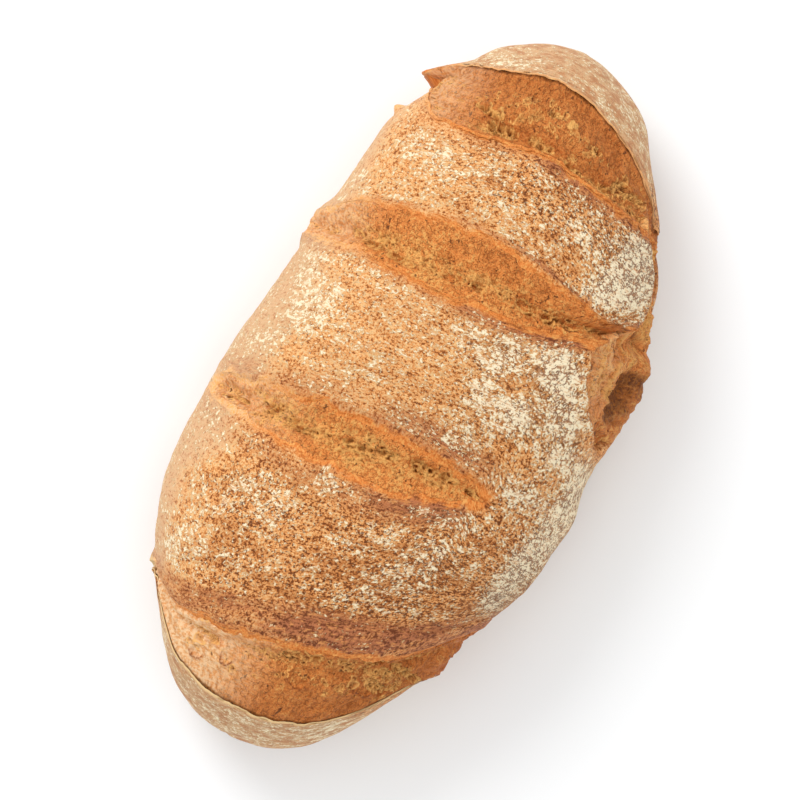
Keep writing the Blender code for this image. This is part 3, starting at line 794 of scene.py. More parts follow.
def slash_rows(slash, round_angle):
    """Rows across one slash: skin to its torn edge, under it to the groove's floor, and up the other side."""
    lower = lip_place(slash, "lower", round_angle)
    upper = lip_place(slash, "upper", round_angle)
    gap = slash_gap(slash, round_angle)
    shut = np.zeros_like(round_angle)
    arc = (round_angle * DEGREE_LENGTH)[..., None]
    fade = smoothstep(0.0, EDGE_OPENS, gap)
    halves = []
    for index, lip in enumerate((lower, upper)):
        side = INWARD[index]
        edge = edge_line(slash, index, round_angle)
        kind = SLASHES[slash]["edges"][index][0]
        section = EDGE_SECTIONS[kind]
        half = []
        skin_count = 2 + int(np.abs(edge - lip).max() / BAND_STEP)
        edge_height = skin_relief(slash, edge, round_angle)
        wave = layered(arc, EDGE_WAVE_SIZE, 3, SEEDS["edge waves"] + side) * EDGE_WAVES[kind]
        for share in np.linspace(0.0, 1.0, skin_count + 1)[:-1]:
            x = lip + (edge + side * SECTION_LEAD * section[0][0] - lip) * share
            half.append((x, skin_relief(slash, x, round_angle) + wave * share, shut))
        for offset, drop in section:
            x = edge + side * offset * (SECTION_LEAST + (1.0 - SECTION_LEAST) * fade)
            inside = smoothstep(*HIDDEN_DROPS, drop) + shut
            half.append((x, edge_height + (wave + drop) * fade, inside))
        halves.append(half)
    low_half, high_half = halves
    start, end = low_half[-1][0], high_half[-1][0]
    floor = [(start + (end - start) * share, -GROOVE_DEPTH * fade, 1.0 + shut) for share in FLOOR_SHARES]
    whole = low_half + floor + high_half[::-1]
    opened = smoothstep(0.0, ROWS_EVEN, gap)
    rows = []
    for share, (x, height, inside) in zip(np.linspace(0.0, 1.0, len(whole)), whole):
        even = lower + (upper - lower) * share
        rows.append((angle_of(even + (x - even) * opened), height * opened, inside * opened,
                     openness(slash, round_angle)))
    return rows


def flank_share(round_angle):
    return smoothstep(*FLANK_LOOKS, np.abs(round_angle))


def flour_cover(points, round_angle):
    """How much flour lies on the skin, from named patches in plan and scattered drifts on the flanks."""
    bare = np.full(points.shape[:-1], 1.0 - FLOUR_EVERYWHERE)
    for *oval, cover in FLOUR:
        off = off_middle(points[..., 0], points[..., 1], *oval)
        bare = bare * (1.0 - cover * mound(off, FLOUR_REACH))
    flank = flank_share(round_angle)
    mean, change, size = FLANK_DRIFTS
    drifts = np.clip(mean + change * layered(points, size, 3, SEEDS["drifts"]), *FLANK_DRIFT_LIMITS)
    return (1.0 - bare) * (1.0 - flank) + drifts * flank


def mauve_skin(x, y, round_angle):
    """Where the skin beside the slashes has stretched and baked hard."""
    from_heel = x - lip_place("heel", "upper", round_angle)
    start, end = MAUVE_BY_HEEL
    mauve = smoothstep(*start, from_heel) * smoothstep(*end, from_heel) * openness("heel", round_angle)
    fade_start, fade_end, fade = MAUVE_FADES_BY_HEEL
    mauve = mauve * (1.0 - fade * smoothstep(fade_start, fade_end, y))
    weak, strong, least = MAUVE_ACROSS
    across = least + (1.0 - least) * smoothstep(weak, strong, y)
    for slash, low_reach, high_reach in MAUVE:
        below = lip_place(slash, "lower", round_angle) - x
        above = x - lip_place(slash, "upper", round_angle)
        near = np.maximum(mound(below - MAUVE_STARTS, low_reach), mound(above - MAUVE_STARTS, high_reach))
        mauve = mauve + near * openness(slash, round_angle) * across
    return np.clip(mauve, 0.0, 1.0)


def baked_and_shaded_skin(x, base, y, flank):
    """How hard the skin is baked, on top and on the flanks, with painted shade to -Y and painted light to +Y.
    """
    on_top = BAKED_EVERYWHERE
    for strength, x_range, y_range in BAKED_AND_SHADED_SKIN:
        on_top = on_top + strength * smoothstep(*x_range, x) * smoothstep(*y_range, y)
    mean, change, y_range, at_random, size = FLANK_BAKED_AND_SHADED
    on_flank = mean + change * smoothstep(*y_range, y) + at_random * layered(base, size, 2, SEEDS["flank"])
    return np.clip(on_top * (1.0 - flank) + on_flank * flank, 0.0, 1.0)


def skin_looks(x, round_angle, base, points, inside, in_tear):
    """Named values over the skin that its material reads."""
    torn = inside + in_tear
    flour = flour_cover(points, round_angle)
    rim = np.zeros_like(x)
    for slash in SLASHES:
        for index in (0, 1):
            near_torn, near_free, near_rim = edge_looks(slash, index, x, round_angle)
            torn = np.maximum(torn, near_torn)
            flour = flour * (1.0 - FLOUR_LOST["at edges"] * near_free)
            rim = np.maximum(rim, near_rim)
    horn = horn_shift(angle_of(x), round_angle)[1]
    torn = np.maximum(torn, smoothstep(*HORN_TORN, horn) + patches((SCRAP,), x, round_angle))
    past_edge = smoothstep(1.0, -0.5, round_angle - burst_edge(x))
    burst_near = past_edge * smoothstep(-96, -90, round_angle) * burst_share(x)
    flour = flour * (1.0 - burst_near) * (1.0 - inside)
    mauve = mauve_skin(x, base[..., 1], round_angle)
    by_heel = x < HEEL_MAUVE_BELOW
    lost = np.where(by_heel, FLOUR_LOST["on mauve by the heel"], FLOUR_LOST["on mauve elsewhere"])
    flour = flour * (1.0 - lost * mauve)
    reach, size = BAKED_STRAYS
    y = base[..., 1] + reach * layered(base, size, 2, SEEDS["baked"])
    flank = flank_share(round_angle)
    pale_start, pale_end, lost_on_flank = PALE_SKIN
    pale = smoothstep(pale_start, pale_end, y) * (1.0 - lost_on_flank * flank)
    seen_from, seen_to, seen_share = HORN_SEEN
    out_of_sight = 1.0 - seen_share * smoothstep(seen_from, seen_to, horn)
    low_cap, high_cap = CAP_SKIN
    return {
        "flour": flour,
        "torn": np.clip(torn, 0.0, 1.0),
        "rim": rim,
        "mauve": mauve,
        "pale": pale * (1.0 - smoothstep(*HORN_PLAIN, horn)),
        "baked": baked_and_shaded_skin(x, base, y, flank),
        # Painted shade on skin that lies out of sight in a groove or under the burst's crumb, less where a
        # horn draws it out into the light
        "inside": np.clip(inside + in_tear, 0.0, 1.0) * out_of_sight,
        "cap": np.maximum(smoothstep(*low_cap, x), smoothstep(*high_cap, x)),
        "under": smoothstep(*UNDER_SKIN, np.abs(round_angle)),
    }


def build_skin(material):
    columns = skin_columns()
    along, height, inside, beside = skin_rows(columns)
    round_angle = make_room_for_burst(along, columns[None, :])
    x = x_of(along)
    base = dome(along, round_angle)
    edge = burst_edge(x)
    in_tear = (smoothstep(*BURST_SKIN_FALLS, round_angle - edge) * burst_open(x, round_angle)
               * smoothstep(*BURST_SKIN_RISES, round_angle - burst_end(x)))
    above, reach, curl_height = BURST_CURL
    curl = curl_height * mound(round_angle - edge - above, reach) * burst_share(x)
    wrinkle_height, wrinkle_size = WRINKLES
    wrinkles = wrinkle_height * layered(base * np.array(WRINKLE_STRETCH), wrinkle_size, 3, SEEDS["wrinkles"])
    lift = (height + ground(along, round_angle) + patches((SCRAP,), x, round_angle) + curl
            + wrinkles * (1.0 - inside) + burst_relief(x, round_angle) - BURST_SKIN_DROP * in_tear)
    points = lifted(along, round_angle, lift)

    rows, count = along.shape
    noses = dome(np.array([-90.0, 90.0]), np.zeros(2)) + np.array([*BOX_SHIFT, 0.0])
    vertices = np.concatenate([points.reshape(-1, 3), noses])
    column = np.arange(count)
    after = (column + 1) % count
    row = np.arange(rows - 1)[:, None] * count
    corners = (row + column, row + count + column, row + count + after, row + after)
    quads = np.stack(np.broadcast_arrays(*corners), -1)
    last = (rows - 1) * count
    first_fan = np.stack([np.full(count, rows * count), column, after], -1)
    last_fan = np.stack([np.full(count, rows * count + 1), last + after, last + column], -1)
    faces = list(quads.reshape(-1, 4)) + list(first_fan) + list(last_fan)

    # The map gives each part of the skin room by its size, and less to the base and to what is hidden
    weight = np.where(np.abs(columns) < TOP_ANGLE, 1.0, MAP_SHARE_OF_BASE)
    ring = points[rows // 2]
    girth = np.linalg.norm(np.roll(ring, -1, axis=0) - ring, axis=-1) * weight
    u = np.concatenate([[0.0], np.cumsum(girth)]) / girth.sum()
    crown = points[:, np.abs(columns).argmin()]
    in_sight = 1.0 - MAP_LOST_IF_HIDDEN * inside[:-1].max(axis=1)
    run = np.linalg.norm(np.diff(crown, axis=0), axis=-1) * in_sight + MAP_LEAST
    v = MAP_AT_NOSES + (1.0 - 2.0 * MAP_AT_NOSES) * np.concatenate([[0.0], np.cumsum(run)]) / run.sum()
    middle = 0.5 * (u[1:] + u[:-1])
    ones = np.ones(count)
    first_uv = np.stack([middle, 0 * ones, u[:-1], v[0] * ones, u[1:], v[0] * ones], -1)
    last_uv = np.stack([middle, ones, u[1:], v[-1] * ones, u[:-1], v[-1] * ones], -1)
    fans = [first_uv.reshape(-1, 2), last_uv.reshape(-1, 2)]
    uvs = np.concatenate([corner_values(rows - 1, count, v, u), *fans])

    values = skin_looks(x, round_angle, base, points, inside, in_tear)
    row_x = x + (x.mean(axis=1, keepdims=True) - x) * smoothstep(0.0, 0.9, beside)
    values["grain"] = np.stack([row_x, base[..., 1], base[..., 2]], -1)
    flat = {label: value.reshape(-1, *value.shape[2:]) for label, value in values.items()}
    flat = {label: np.concatenate([value, value[[0, -1]]]) for label, value in flat.items()}
    piece = add_mesh("crust", vertices, faces, uvs, flat)
    dress(piece, material)
    return piece


# ---------------------------------------------------------------- crumb
def bubbles(flat, size, stretch, share, seed):
    """Burst bubbles in a share of scattered cells: how deep into one a place lies, and how near its rim."""
    bent = flat + BUBBLE_BEND * size * strays(flat, BUBBLE_BEND_SIZE * size, 2, (seed + 5, seed + 6), 17.0)
    wall, own = cells_2d(bent / np.array([size, size * stretch]), seed)
    here = smoothstep(1.0 - share, 1.06 - share, own) * smoothstep(0.0, 0.05, share)
    rim = smoothstep(0.0, 0.1, wall) * smoothstep(0.32, 0.12, wall) * here
    return smoothstep(0.12, 0.55, wall) * here, rim


def torn_crumb(flat, plan, slash, open_share, seed):
    """Depth of the torn texture at flat places in mm, with the looks that go with it."""
    warp = strays(flat, 5.0, 2, (seed, seed), 31.0)
    bumps = (0.5 * layered(flat, 8.0, 2, seed + 11)
             + (0.22 + 0.3 * open_share) * ridged(flat * np.array([1.0, 0.6]) + warp, 3.4, 3, seed + 13)
             + (0.1 + 0.16 * open_share) * layered(flat * np.array([1.0, 0.7]), 1.3, 2, seed + 15))
    bend = layered(flat, 3.0, 3, seed + 5)
    hollow, deep_there, rust = (np.zeros_like(bumps) for _ in range(3))
    for *oval, deep in HOLLOWS.get(slash, ()):
        off = off_middle(plan[..., 0], plan[..., 1], *oval) + 0.3 * bend
        hole = smoothstep(1.45, 0.8, off)
        hollow = np.maximum(hollow, hole)
        deep_there = np.maximum(deep_there, deep * hole)
        rust = np.maximum(rust, 0.6 * mound(off - 1.4, 0.4))
    depth = 0.45 * deep_there - bumps * (1.0 - 0.6 * hollow)
    # pore paints shade into the bubbles and hollows; it also darkens the blisters' torn rims
    pore, olive, strand = (np.zeros_like(bumps) for _ in range(3))
    for order, (size, deep, in_closed, in_open, in_hollows, darkness, yellow) in enumerate(BUBBLES):
        crowd = in_closed + in_open * open_share + in_hollows * hollow
        bowl, rim = bubbles(flat, size, BUBBLE_STRETCH, crowd, seed + 20 + 10 * order)
        depth = depth + deep * (0.7 + 0.5 * hollow) * bowl - BUBBLE_RIM * deep * rim
        pore = np.maximum(pore, bowl * darkness * (1.0 - 0.35 * hollow))
        olive = np.maximum(olive, bowl * yellow)
        strand = np.maximum(strand, rim)
    olive = np.maximum(olive, 0.6 * hollow) * (1.0 - 0.7 * strand)
    pore = np.maximum(pore, HOLLOW_SHADE.get(slash, 0.0) * hollow * (1.0 - strand))
    for place_x, place_y, radius in BLISTERS.get(slash, ()):
        off = np.hypot(plan[..., 0] - place_x, plan[..., 1] - place_y) / radius + 0.24 * bend
        torn_side = smoothstep(0.3, -0.7, (plan[..., 0] - place_x) / radius)
        ring = mound(off - 1.0, 0.34) * (0.12 + 0.88 * torn_side)
        floor_depth, rim_depth = BLISTER_DEPTHS
        depth = depth * (1.0 - 0.6 * smoothstep(1.0, 0.8, off))
        depth = depth + floor_depth * smoothstep(1.0, 0.55, off) + rim_depth * ring
        rust = np.maximum(rust, 0.9 * ring)
        pore = np.maximum(pore, 0.72 * ring)
    looks = {"pore": pore, "olive": olive, "strand": strand, "rust": rust, "open": open_share,
             "crest": np.clip(0.5 + bumps / 1.5, 0.0, 1.0)}
    return depth, looks


def near_edge(slash, index, x, columns):
    """1 at the skin's edge, 0 a few mm into the slash, and how far the crumb is buried beyond the edge."""
    kind = SLASHES[slash]["edges"][index][0]
    edge = edge_line(slash, index, columns)
    inward = (x - edge) * INWARD[index]
    at_edge = skin_relief(slash, edge, columns) + CRUMB_UNDER_EDGE[kind]
    near = np.where(inward > 0.0, mound(inward, CRUMB_MEETS), 1.0)
    buried = CRUMB_BURIAL[kind] * smoothstep(*CRUMB_DIVES, inward)
    return near, at_edge, buried


def ear_shadow(slash, x, columns):
    """1 in the thin dark gap between the crumb and the free edge of an ear."""
    if slash not in EAR_SIDE:
        return np.zeros_like(x)
    index = EAR_SIDE[slash]
    strength, widths = EAR_SHADOW
    inward = (x - edge_line(slash, index, columns)) * INWARD[index]
    return strength * smoothstep(*widths, inward) * smoothstep(0.1, 0.4, slash_gap(slash, columns))


def crumb_height(slash, x, columns, across):
    """The crumb's own section, led to the skin's edges on both sides, and how near to one a place is."""
    places, heights = zip(*SLASHES[slash]["crumb"])
    share_open = openness(slash, columns)
    height = smooth_through(places, heights, np.clip(across, places[0], places[-1])) * share_open
    calm = np.zeros_like(x)
    buried = np.zeros_like(x)
    for index in (0, 1):
        near, at_edge, under = near_edge(slash, index, x, columns)
        height = height * (1.0 - near) + at_edge * near
        calm = np.maximum(calm, near)
        buried = buried + under
    sink, whole = CRUMB_SINK
    closing = sink * (1.0 - smoothstep(0.0, whole, slash_gap(slash, columns)))
    return height - buried - CRUMB_DROP * (1.0 - share_open) - closing, calm


def torn_open(slash, x, y, across):
    """How far the crumb is torn open, by its share of the way across and by places in plan."""
    total = np.zeros_like(x)
    for place, half, strength in TORN_OPEN[slash]:
        total = np.maximum(total, strength * mound(across - place, TORN_REACH * half))
    for *oval, strength in TORN_PATCHES[slash]:
        total = np.maximum(total, strength * mound(off_middle(x, y, *oval), PATCH_REACH))
    return total


def baked_and_shaded_crumb(slash, across, y):
    """How brown the crumb is, and towards an ear partly painted shade under it."""
    if slash == "middle":
        return np.clip(np.abs(across - 0.5) * MIDDLE_BAKED, 0.0, 1.0)
    total, parts = BAKED_AND_SHADED_CRUMB[slash]
    for way, start, end, strength in parts:
        total = total + strength * smoothstep(start, end, y if way == "y" else across)
    return np.clip(total, 0.0, 1.0)


def build_crumb(slash, material, seed):
    low_end, high_end = SLASHES[slash]["ends"]
    count = int((high_end - low_end) * DEGREE_LENGTH / CRUMB_STEP)
    columns = np.linspace(low_end + CRUMB_ENDS_EARLY, high_end - CRUMB_ENDS_EARLY, count)
    gap = slash_gap(slash, columns)
    start = edge_line(slash, 0, columns) - CRUMB_TUCK
    end = edge_line(slash, 1, columns) + CRUMB_TUCK
    rows = int((end - start).max() / CRUMB_STEP)
    x = start + (end - start) * np.linspace(0.0, 1.0, rows)[:, None]
    along = angle_of(x)
    round_angle = make_room_for_burst(along, columns[None, :])
    lower = lip_place(slash, "lower", columns)
    across = (x - lower) / (lip_place(slash, "upper", columns) - lower)
    base = dome(along, round_angle)
    y = base[..., 1]
    step = np.linalg.norm(np.diff(base[rows // 2], axis=0), axis=-1)
    v = np.broadcast_to(np.concatenate([[0.0], np.cumsum(step)]), x.shape)
    flat = np.stack([x, v], -1)

    height, calm = crumb_height(slash, x, columns, across)
    clumps = smoothstep(*CLUMP_EDGES, layered(flat * np.array([1.0, 0.5]), CLUMP_SIZE, 2, seed + 3))
    open_share = torn_open(slash, x, y, across) * (0.2 + 0.8 * clumps) * smoothstep(0.15, 0.6, gap)
    depth, values = torn_crumb(flat, base, slash, open_share * (1.0 - 0.8 * calm), seed)
    cleft, darkness = clefts(base[..., :2])
    fray, fray_size, fray_angles = CRUMB_FRAY
    frayed = smoothstep(*fray_angles, np.abs(round_angle))
    lift = (height - depth * (1.0 - 0.75 * calm) - cleft + ground(along, round_angle)
            + patches(CRUMB_SWELLS.get(slash, ()), x, round_angle) * openness(slash, columns)
            + fray * ridged(flat, fray_size, 2, seed + 50) * frayed * gap
            + burst_relief(x, round_angle))
    top = lifted(along, round_angle, lift)

    horn = horn_shift(along, round_angle)[1]
    shadow = ear_shadow(slash, x, columns) * (1.0 - smoothstep(0.0, 0.25, horn))
    pale_start, pale_end, pale = PALE_CRUMB[slash]
    rust = 0.6 * smoothstep(0.1, 0.5, horn) * clumps
    if slash == "heel":
        rust = np.maximum(rust, smoothstep(*HEEL_RUST, y) * (0.35 + 0.5 * clumps))
    # The dark value is painted shade: the shadow of an ear's edge and the shade in the burst's clefts
    values["dark"] = np.maximum(shadow, np.clip(darkness, 0.0, 0.9))
    values["rust"] = np.maximum(values["rust"], rust)
    values["grain"] = np.stack([x, v, 0.0 * v], -1)
    values["baked"] = baked_and_shaded_crumb(slash, across, y)
    values["pale"] = pale * smoothstep(pale_start, pale_end, y)
    finish_crumb("crumb_" + slash, top, along, round_angle, values, material)


def finish_crumb(name, top, along, round_angle, values, material):
    """Two more rows below the ends of the grid make it a slab."""
    below = [top[row] - outward(along[row], round_angle[row]) * CRUMB_THICKNESS for row in (-1, 0)]
    dress(slab(name, top, np.stack(below), values), material)


def slab(name, top, below, values):
    """A closed slab: the grid on top, two rows below it, and a flat end at each side."""
    rows, columns, _ = top.shape
    ring = np.concatenate([top, below])
    total = rows + 2
    row = np.arange(total)[:, None]
    after = (row + 1) % total
    column = np.arange(columns - 1)[None, :]
    quads = np.stack(np.broadcast_arrays(row * columns + column, after * columns + column,
                                         after * columns + column + 1, row * columns + column + 1), -1)
    ends = [[place * columns for place in range(total - 1, -1, -1)],
            [place * columns + columns - 1 for place in range(total)]]
    u = np.linspace(0.0, 1.0, columns)
    v = np.concatenate([np.linspace(0.0, 0.88, rows), [0.89, 0.9, 0.91]])
    uvs = [corner_values(total, columns - 1, v, u)]
    around = np.linspace(0.0, 2.0 * np.pi, total, endpoint=False)
    for middle, turn in ((0.1, -1), (0.3, 1)):
        uvs.append(np.stack([middle + 0.03 * np.cos(turn * around), 0.95 + 0.03 * np.sin(turn * around)], -1))
    spread = {}
    for label, value in values.items():
        whole = np.concatenate([value, value[[-1, 0]]])
        spread[label] = whole.reshape(-1, *whole.shape[2:])
    return add_mesh(name, ring.reshape(-1, 3), list(quads.reshape(-1, 4)) + ends, np.concatenate(uvs), spread)


def build_burst(material, seed):
    """The torn flank: wall, hollow and rim, from under the skin's edge to below the rim."""
    start, end = BURST_PLACES[0] + BURST_TUCK, BURST_PLACES[-1] - BURST_TUCK
    x_line = np.linspace(start, end, int((end - start) / CRUMB_STEP))
    edge = burst_edge(x_line)
    share = np.linspace(0.0, 1.0, int(BURST_ARC / CRUMB_STEP))[:, None]
    round_angle = (edge + BURST_TUCK) + (burst_end(x_line) - edge - BURST_TUCK) * share
    x = np.broadcast_to(x_line, round_angle.shape)
    along = angle_of(x)
    flat = np.stack([round_angle, x], -1)
    clumps = smoothstep(-0.2, 0.5, layered(flat, 9.0, 2, seed + 3))
    open_share = 0.7 * clumps * smoothstep(0.1, 0.35, share) * smoothstep(1.0, 0.75, share)
    plan = dome(along, round_angle)[..., :2]
    depth, values = torn_crumb(flat, plan, "burst", open_share, seed)
    cleft, darkness = clefts(plan)
    folds = ridged(flat * np.array([0.25, 1.0]), 4.5, 3, seed + 40)
    tuck = 2.2 * smoothstep(0.06, 0.0, share) + 3.0 * smoothstep(0.94, 1.0, share)
    closed = 1.0 - burst_open(x, round_angle)
    relief = burst_relief(x, round_angle) - BURST_CRUMB_BELOW
    lift = relief - 1.2 * depth + 0.7 * folds - cleft - tuck - 3.5 * closed + ground(along, round_angle)
    top = lifted(along, round_angle, lift)

    # Patchy strength of the painted shade in the clefts
    cleft_shade_patchiness = 0.72 + 0.3 * layered(flat, 3.0, 3, seed + 46)
    rim_line = smoothstep(-66.5, -69.5, plan[..., 1] + 0.8 * layered(flat, 4.0, 2, seed + 44))
    values["pore"] = 0.8 * values["pore"]
    values["dark"] = np.clip(darkness * cleft_shade_patchiness, 0.0, 0.9)
    values["strand"] = np.maximum(values["strand"], np.clip(-darkness, 0.0, 1.0))
    values["rust"] = np.maximum(values["rust"], rim_line * (0.35 + 0.55 * clumps))
    # The folds raise crest, so their tops are painted lighter too
    values["crest"] = np.clip(values["crest"] + 0.25 * folds, 0.0, 1.0)
    values["grain"] = np.stack([x, round_angle, 0.0 * x], -1)
    values["baked"] = 0.3 * smoothstep(-62, -84, round_angle)
    values["pale"] = 0.3 * smoothstep(-66, -52, round_angle)
    values = {label: value[::-1] for label, value in values.items()}
    finish_crumb("crumb_burst", top[::-1], along[::-1], round_angle[::-1], values, material)


# ---------------------------------------------------------------- materials
LIGHT_ON_TOP = 1.2  # how much brighter than its albedo a level surface comes out
DISPLAY_POWER = 2.2


def seen(red, green, blue):
    """The albedo of a colour as it looks on the loaf, given as 0 to 255."""
    return tuple((channel / 255) ** DISPLAY_POWER / LIGHT_ON_TOP for channel in (red, green, blue))


SKIN_MID = seen(230, 154, 88)
SKIN_LIGHT = seen(244, 194, 134)
SKIN_DARK = seen(162, 88, 34)
SKIN_FLECK = seen(102, 52, 16)
SKIN_GAP = seen(160, 94, 44)
SKIN_PALE = seen(222, 177, 135)
SKIN_MAUVE = seen(186, 114, 74)
SKIN_MAUVE_DARK = seen(122, 64, 38)
SKIN_CAP = seen(227, 184, 140)
SKIN_CAP_DARK = seen(196, 136, 92)
SKIN_UNDER = seen(196, 146, 98)
SKIN_IN_SHADE = seen(120, 68, 28)
RIM_PALE = seen(240, 204, 148)
FLOUR_WHITE = seen(255, 238, 202)
FLOUR_SHADE = seen(214, 170, 114)
CRUMB_ORANGE = seen(240, 144, 70)
CRUMB_BROWN = seen(166, 88, 32)
CRUMB_TAN = seen(202, 114, 50)
CRUMB_PEACH = seen(234, 164, 102)
CRUMB_GOLD = seen(252, 188, 106)
CRUMB_PALE = seen(250, 208, 160)
CRUMB_OLIVE = seen(238, 180, 106)
CRUMB_OLIVE_DARK = seen(192, 130, 64)
CRUMB_RUST = seen(182, 88, 24)
# Painted shade in pits, pores and creases
CRUMB_PIT_SHADE = seen(92, 48, 12)
# Painted shade in the burst's clefts and in the gaps under ears
CRUMB_CLEFT_SHADE = seen(148, 82, 10)
SKIN_BUMP = 0.0006  # metres that a height of 1 stands out
CRUMB_BUMP = 0.001


class Surface:
    """A material and short calls for the few kinds of node that it needs."""

    def __init__(self, name):
        self.material = bpy.data.materials.new(name)
        self.material.use_nodes = True
        self.tree = self.material.node_tree
        self.shader = self.tree.nodes["Principled BSDF"]

    def node(self, kind, inputs, output=0, **settings):
        made = self.tree.nodes.new("ShaderNode" + kind)
        for label, value in settings.items():
            setattr(made, label, value)
        for label, value in inputs.items():
            self.feed(made.inputs[label], value)
        return made.outputs[output]

    def feed(self, socket, value):
        if isinstance(value, bpy.types.NodeSocket):
            self.tree.links.new(value, socket)
        else:
            socket.default_value = value

    def value(self, name):
        return self.node("Attribute", {}, "Fac", attribute_name=name)

    def place(self, name, stretch=(1.0, 1.0, 1.0)):
        vector = self.node("Attribute", {}, "Vector", attribute_name=name)
        return self.node("VectorMath", {0: vector, 1: stretch}, operation="MULTIPLY")

    def noise(self, place, size, detail=2.0, roughness=0.55):
        return self.node("TexNoise", {"Vector": place, "Scale": 1.0 / size, "Detail": detail,
                                      "Roughness": roughness}, "Fac")

    def cells(self, place, size):
        """How far the walls between scattered cells are."""
        return self.node("TexVoronoi", {"Vector": place, "Scale": 1.0 / size}, "Distance",
                         feature="DISTANCE_TO_EDGE")

    def bent(self, place, size, reach):
        """Places shifted to and fro by up to half the reach."""
        shift = self.node("TexNoise", {"Vector": place, "Scale": 1.0 / size, "Detail": 2.0}, "Color")
        scaled = self.node("VectorMath", {0: shift, 1: (reach, reach, reach)}, operation="MULTIPLY")
        return self.node("VectorMath", {0: place, 1: scaled}, operation="ADD")

    def span(self, value, low, high, start=0.0, end=1.0):
        return self.node("MapRange", {"Value": value, "From Min": low, "From Max": high, "To Min": start,
                                      "To Max": end}, interpolation_type="SMOOTHSTEP")

    def line(self, value, low, high, start, end):
        return self.node("MapRange", {"Value": value, "From Min": low, "From Max": high, "To Min": start,
                                      "To Max": end})

    def maths(self, operation, first, second=0.0):
        return self.node("Math", {0: first, 1: second}, operation=operation)

    def times(self, first, second):
        return self.maths("MULTIPLY", first, second)

    def plus(self, *parts):
        total = parts[0]
        for part in parts[1:]:
            total = self.maths("ADD", total, part)
        return total

    def mix(self, share, first, second):
        made = self.tree.nodes.new("ShaderNodeMix")
        made.data_type = "RGBA"
        self.feed(made.inputs["Factor"], share)
        for label, value in (("A", first), ("B", second)):
            socket = next(s for s in made.inputs if s.name == label and s.type == "RGBA")
            self.feed(socket, value if isinstance(value, bpy.types.NodeSocket) else (*value, 1.0))
        return next(s for s in made.outputs if s.type == "RGBA")

    def finish(self, colour, roughness, height, distance):
        self.feed(self.shader.inputs["Base Color"], colour)
        self.feed(self.shader.inputs["Roughness"], roughness)
        bump = self.node("Bump", {"Height": height, "Distance": distance, "Strength": 1.0}, "Normal")
        self.feed(self.shader.inputs["Normal"], bump)
        return self.material


def stretched_crumb(s, tone, streak, fine):
    """Colour of crumb or skin that has stretched without tearing open."""
    colour = s.mix(s.span(tone, 0.38, 0.48), CRUMB_TAN, CRUMB_ORANGE)
    colour = s.mix(s.span(tone, 0.52, 0.64, 0.0, 0.8), colour, CRUMB_GOLD)
    colour = s.mix(s.span(streak, 0.54, 0.64, 0.0, 0.5), colour, CRUMB_BROWN)
    return s.mix(s.span(fine, 0.54, 0.66, 0.0, 0.65), colour, CRUMB_GOLD)


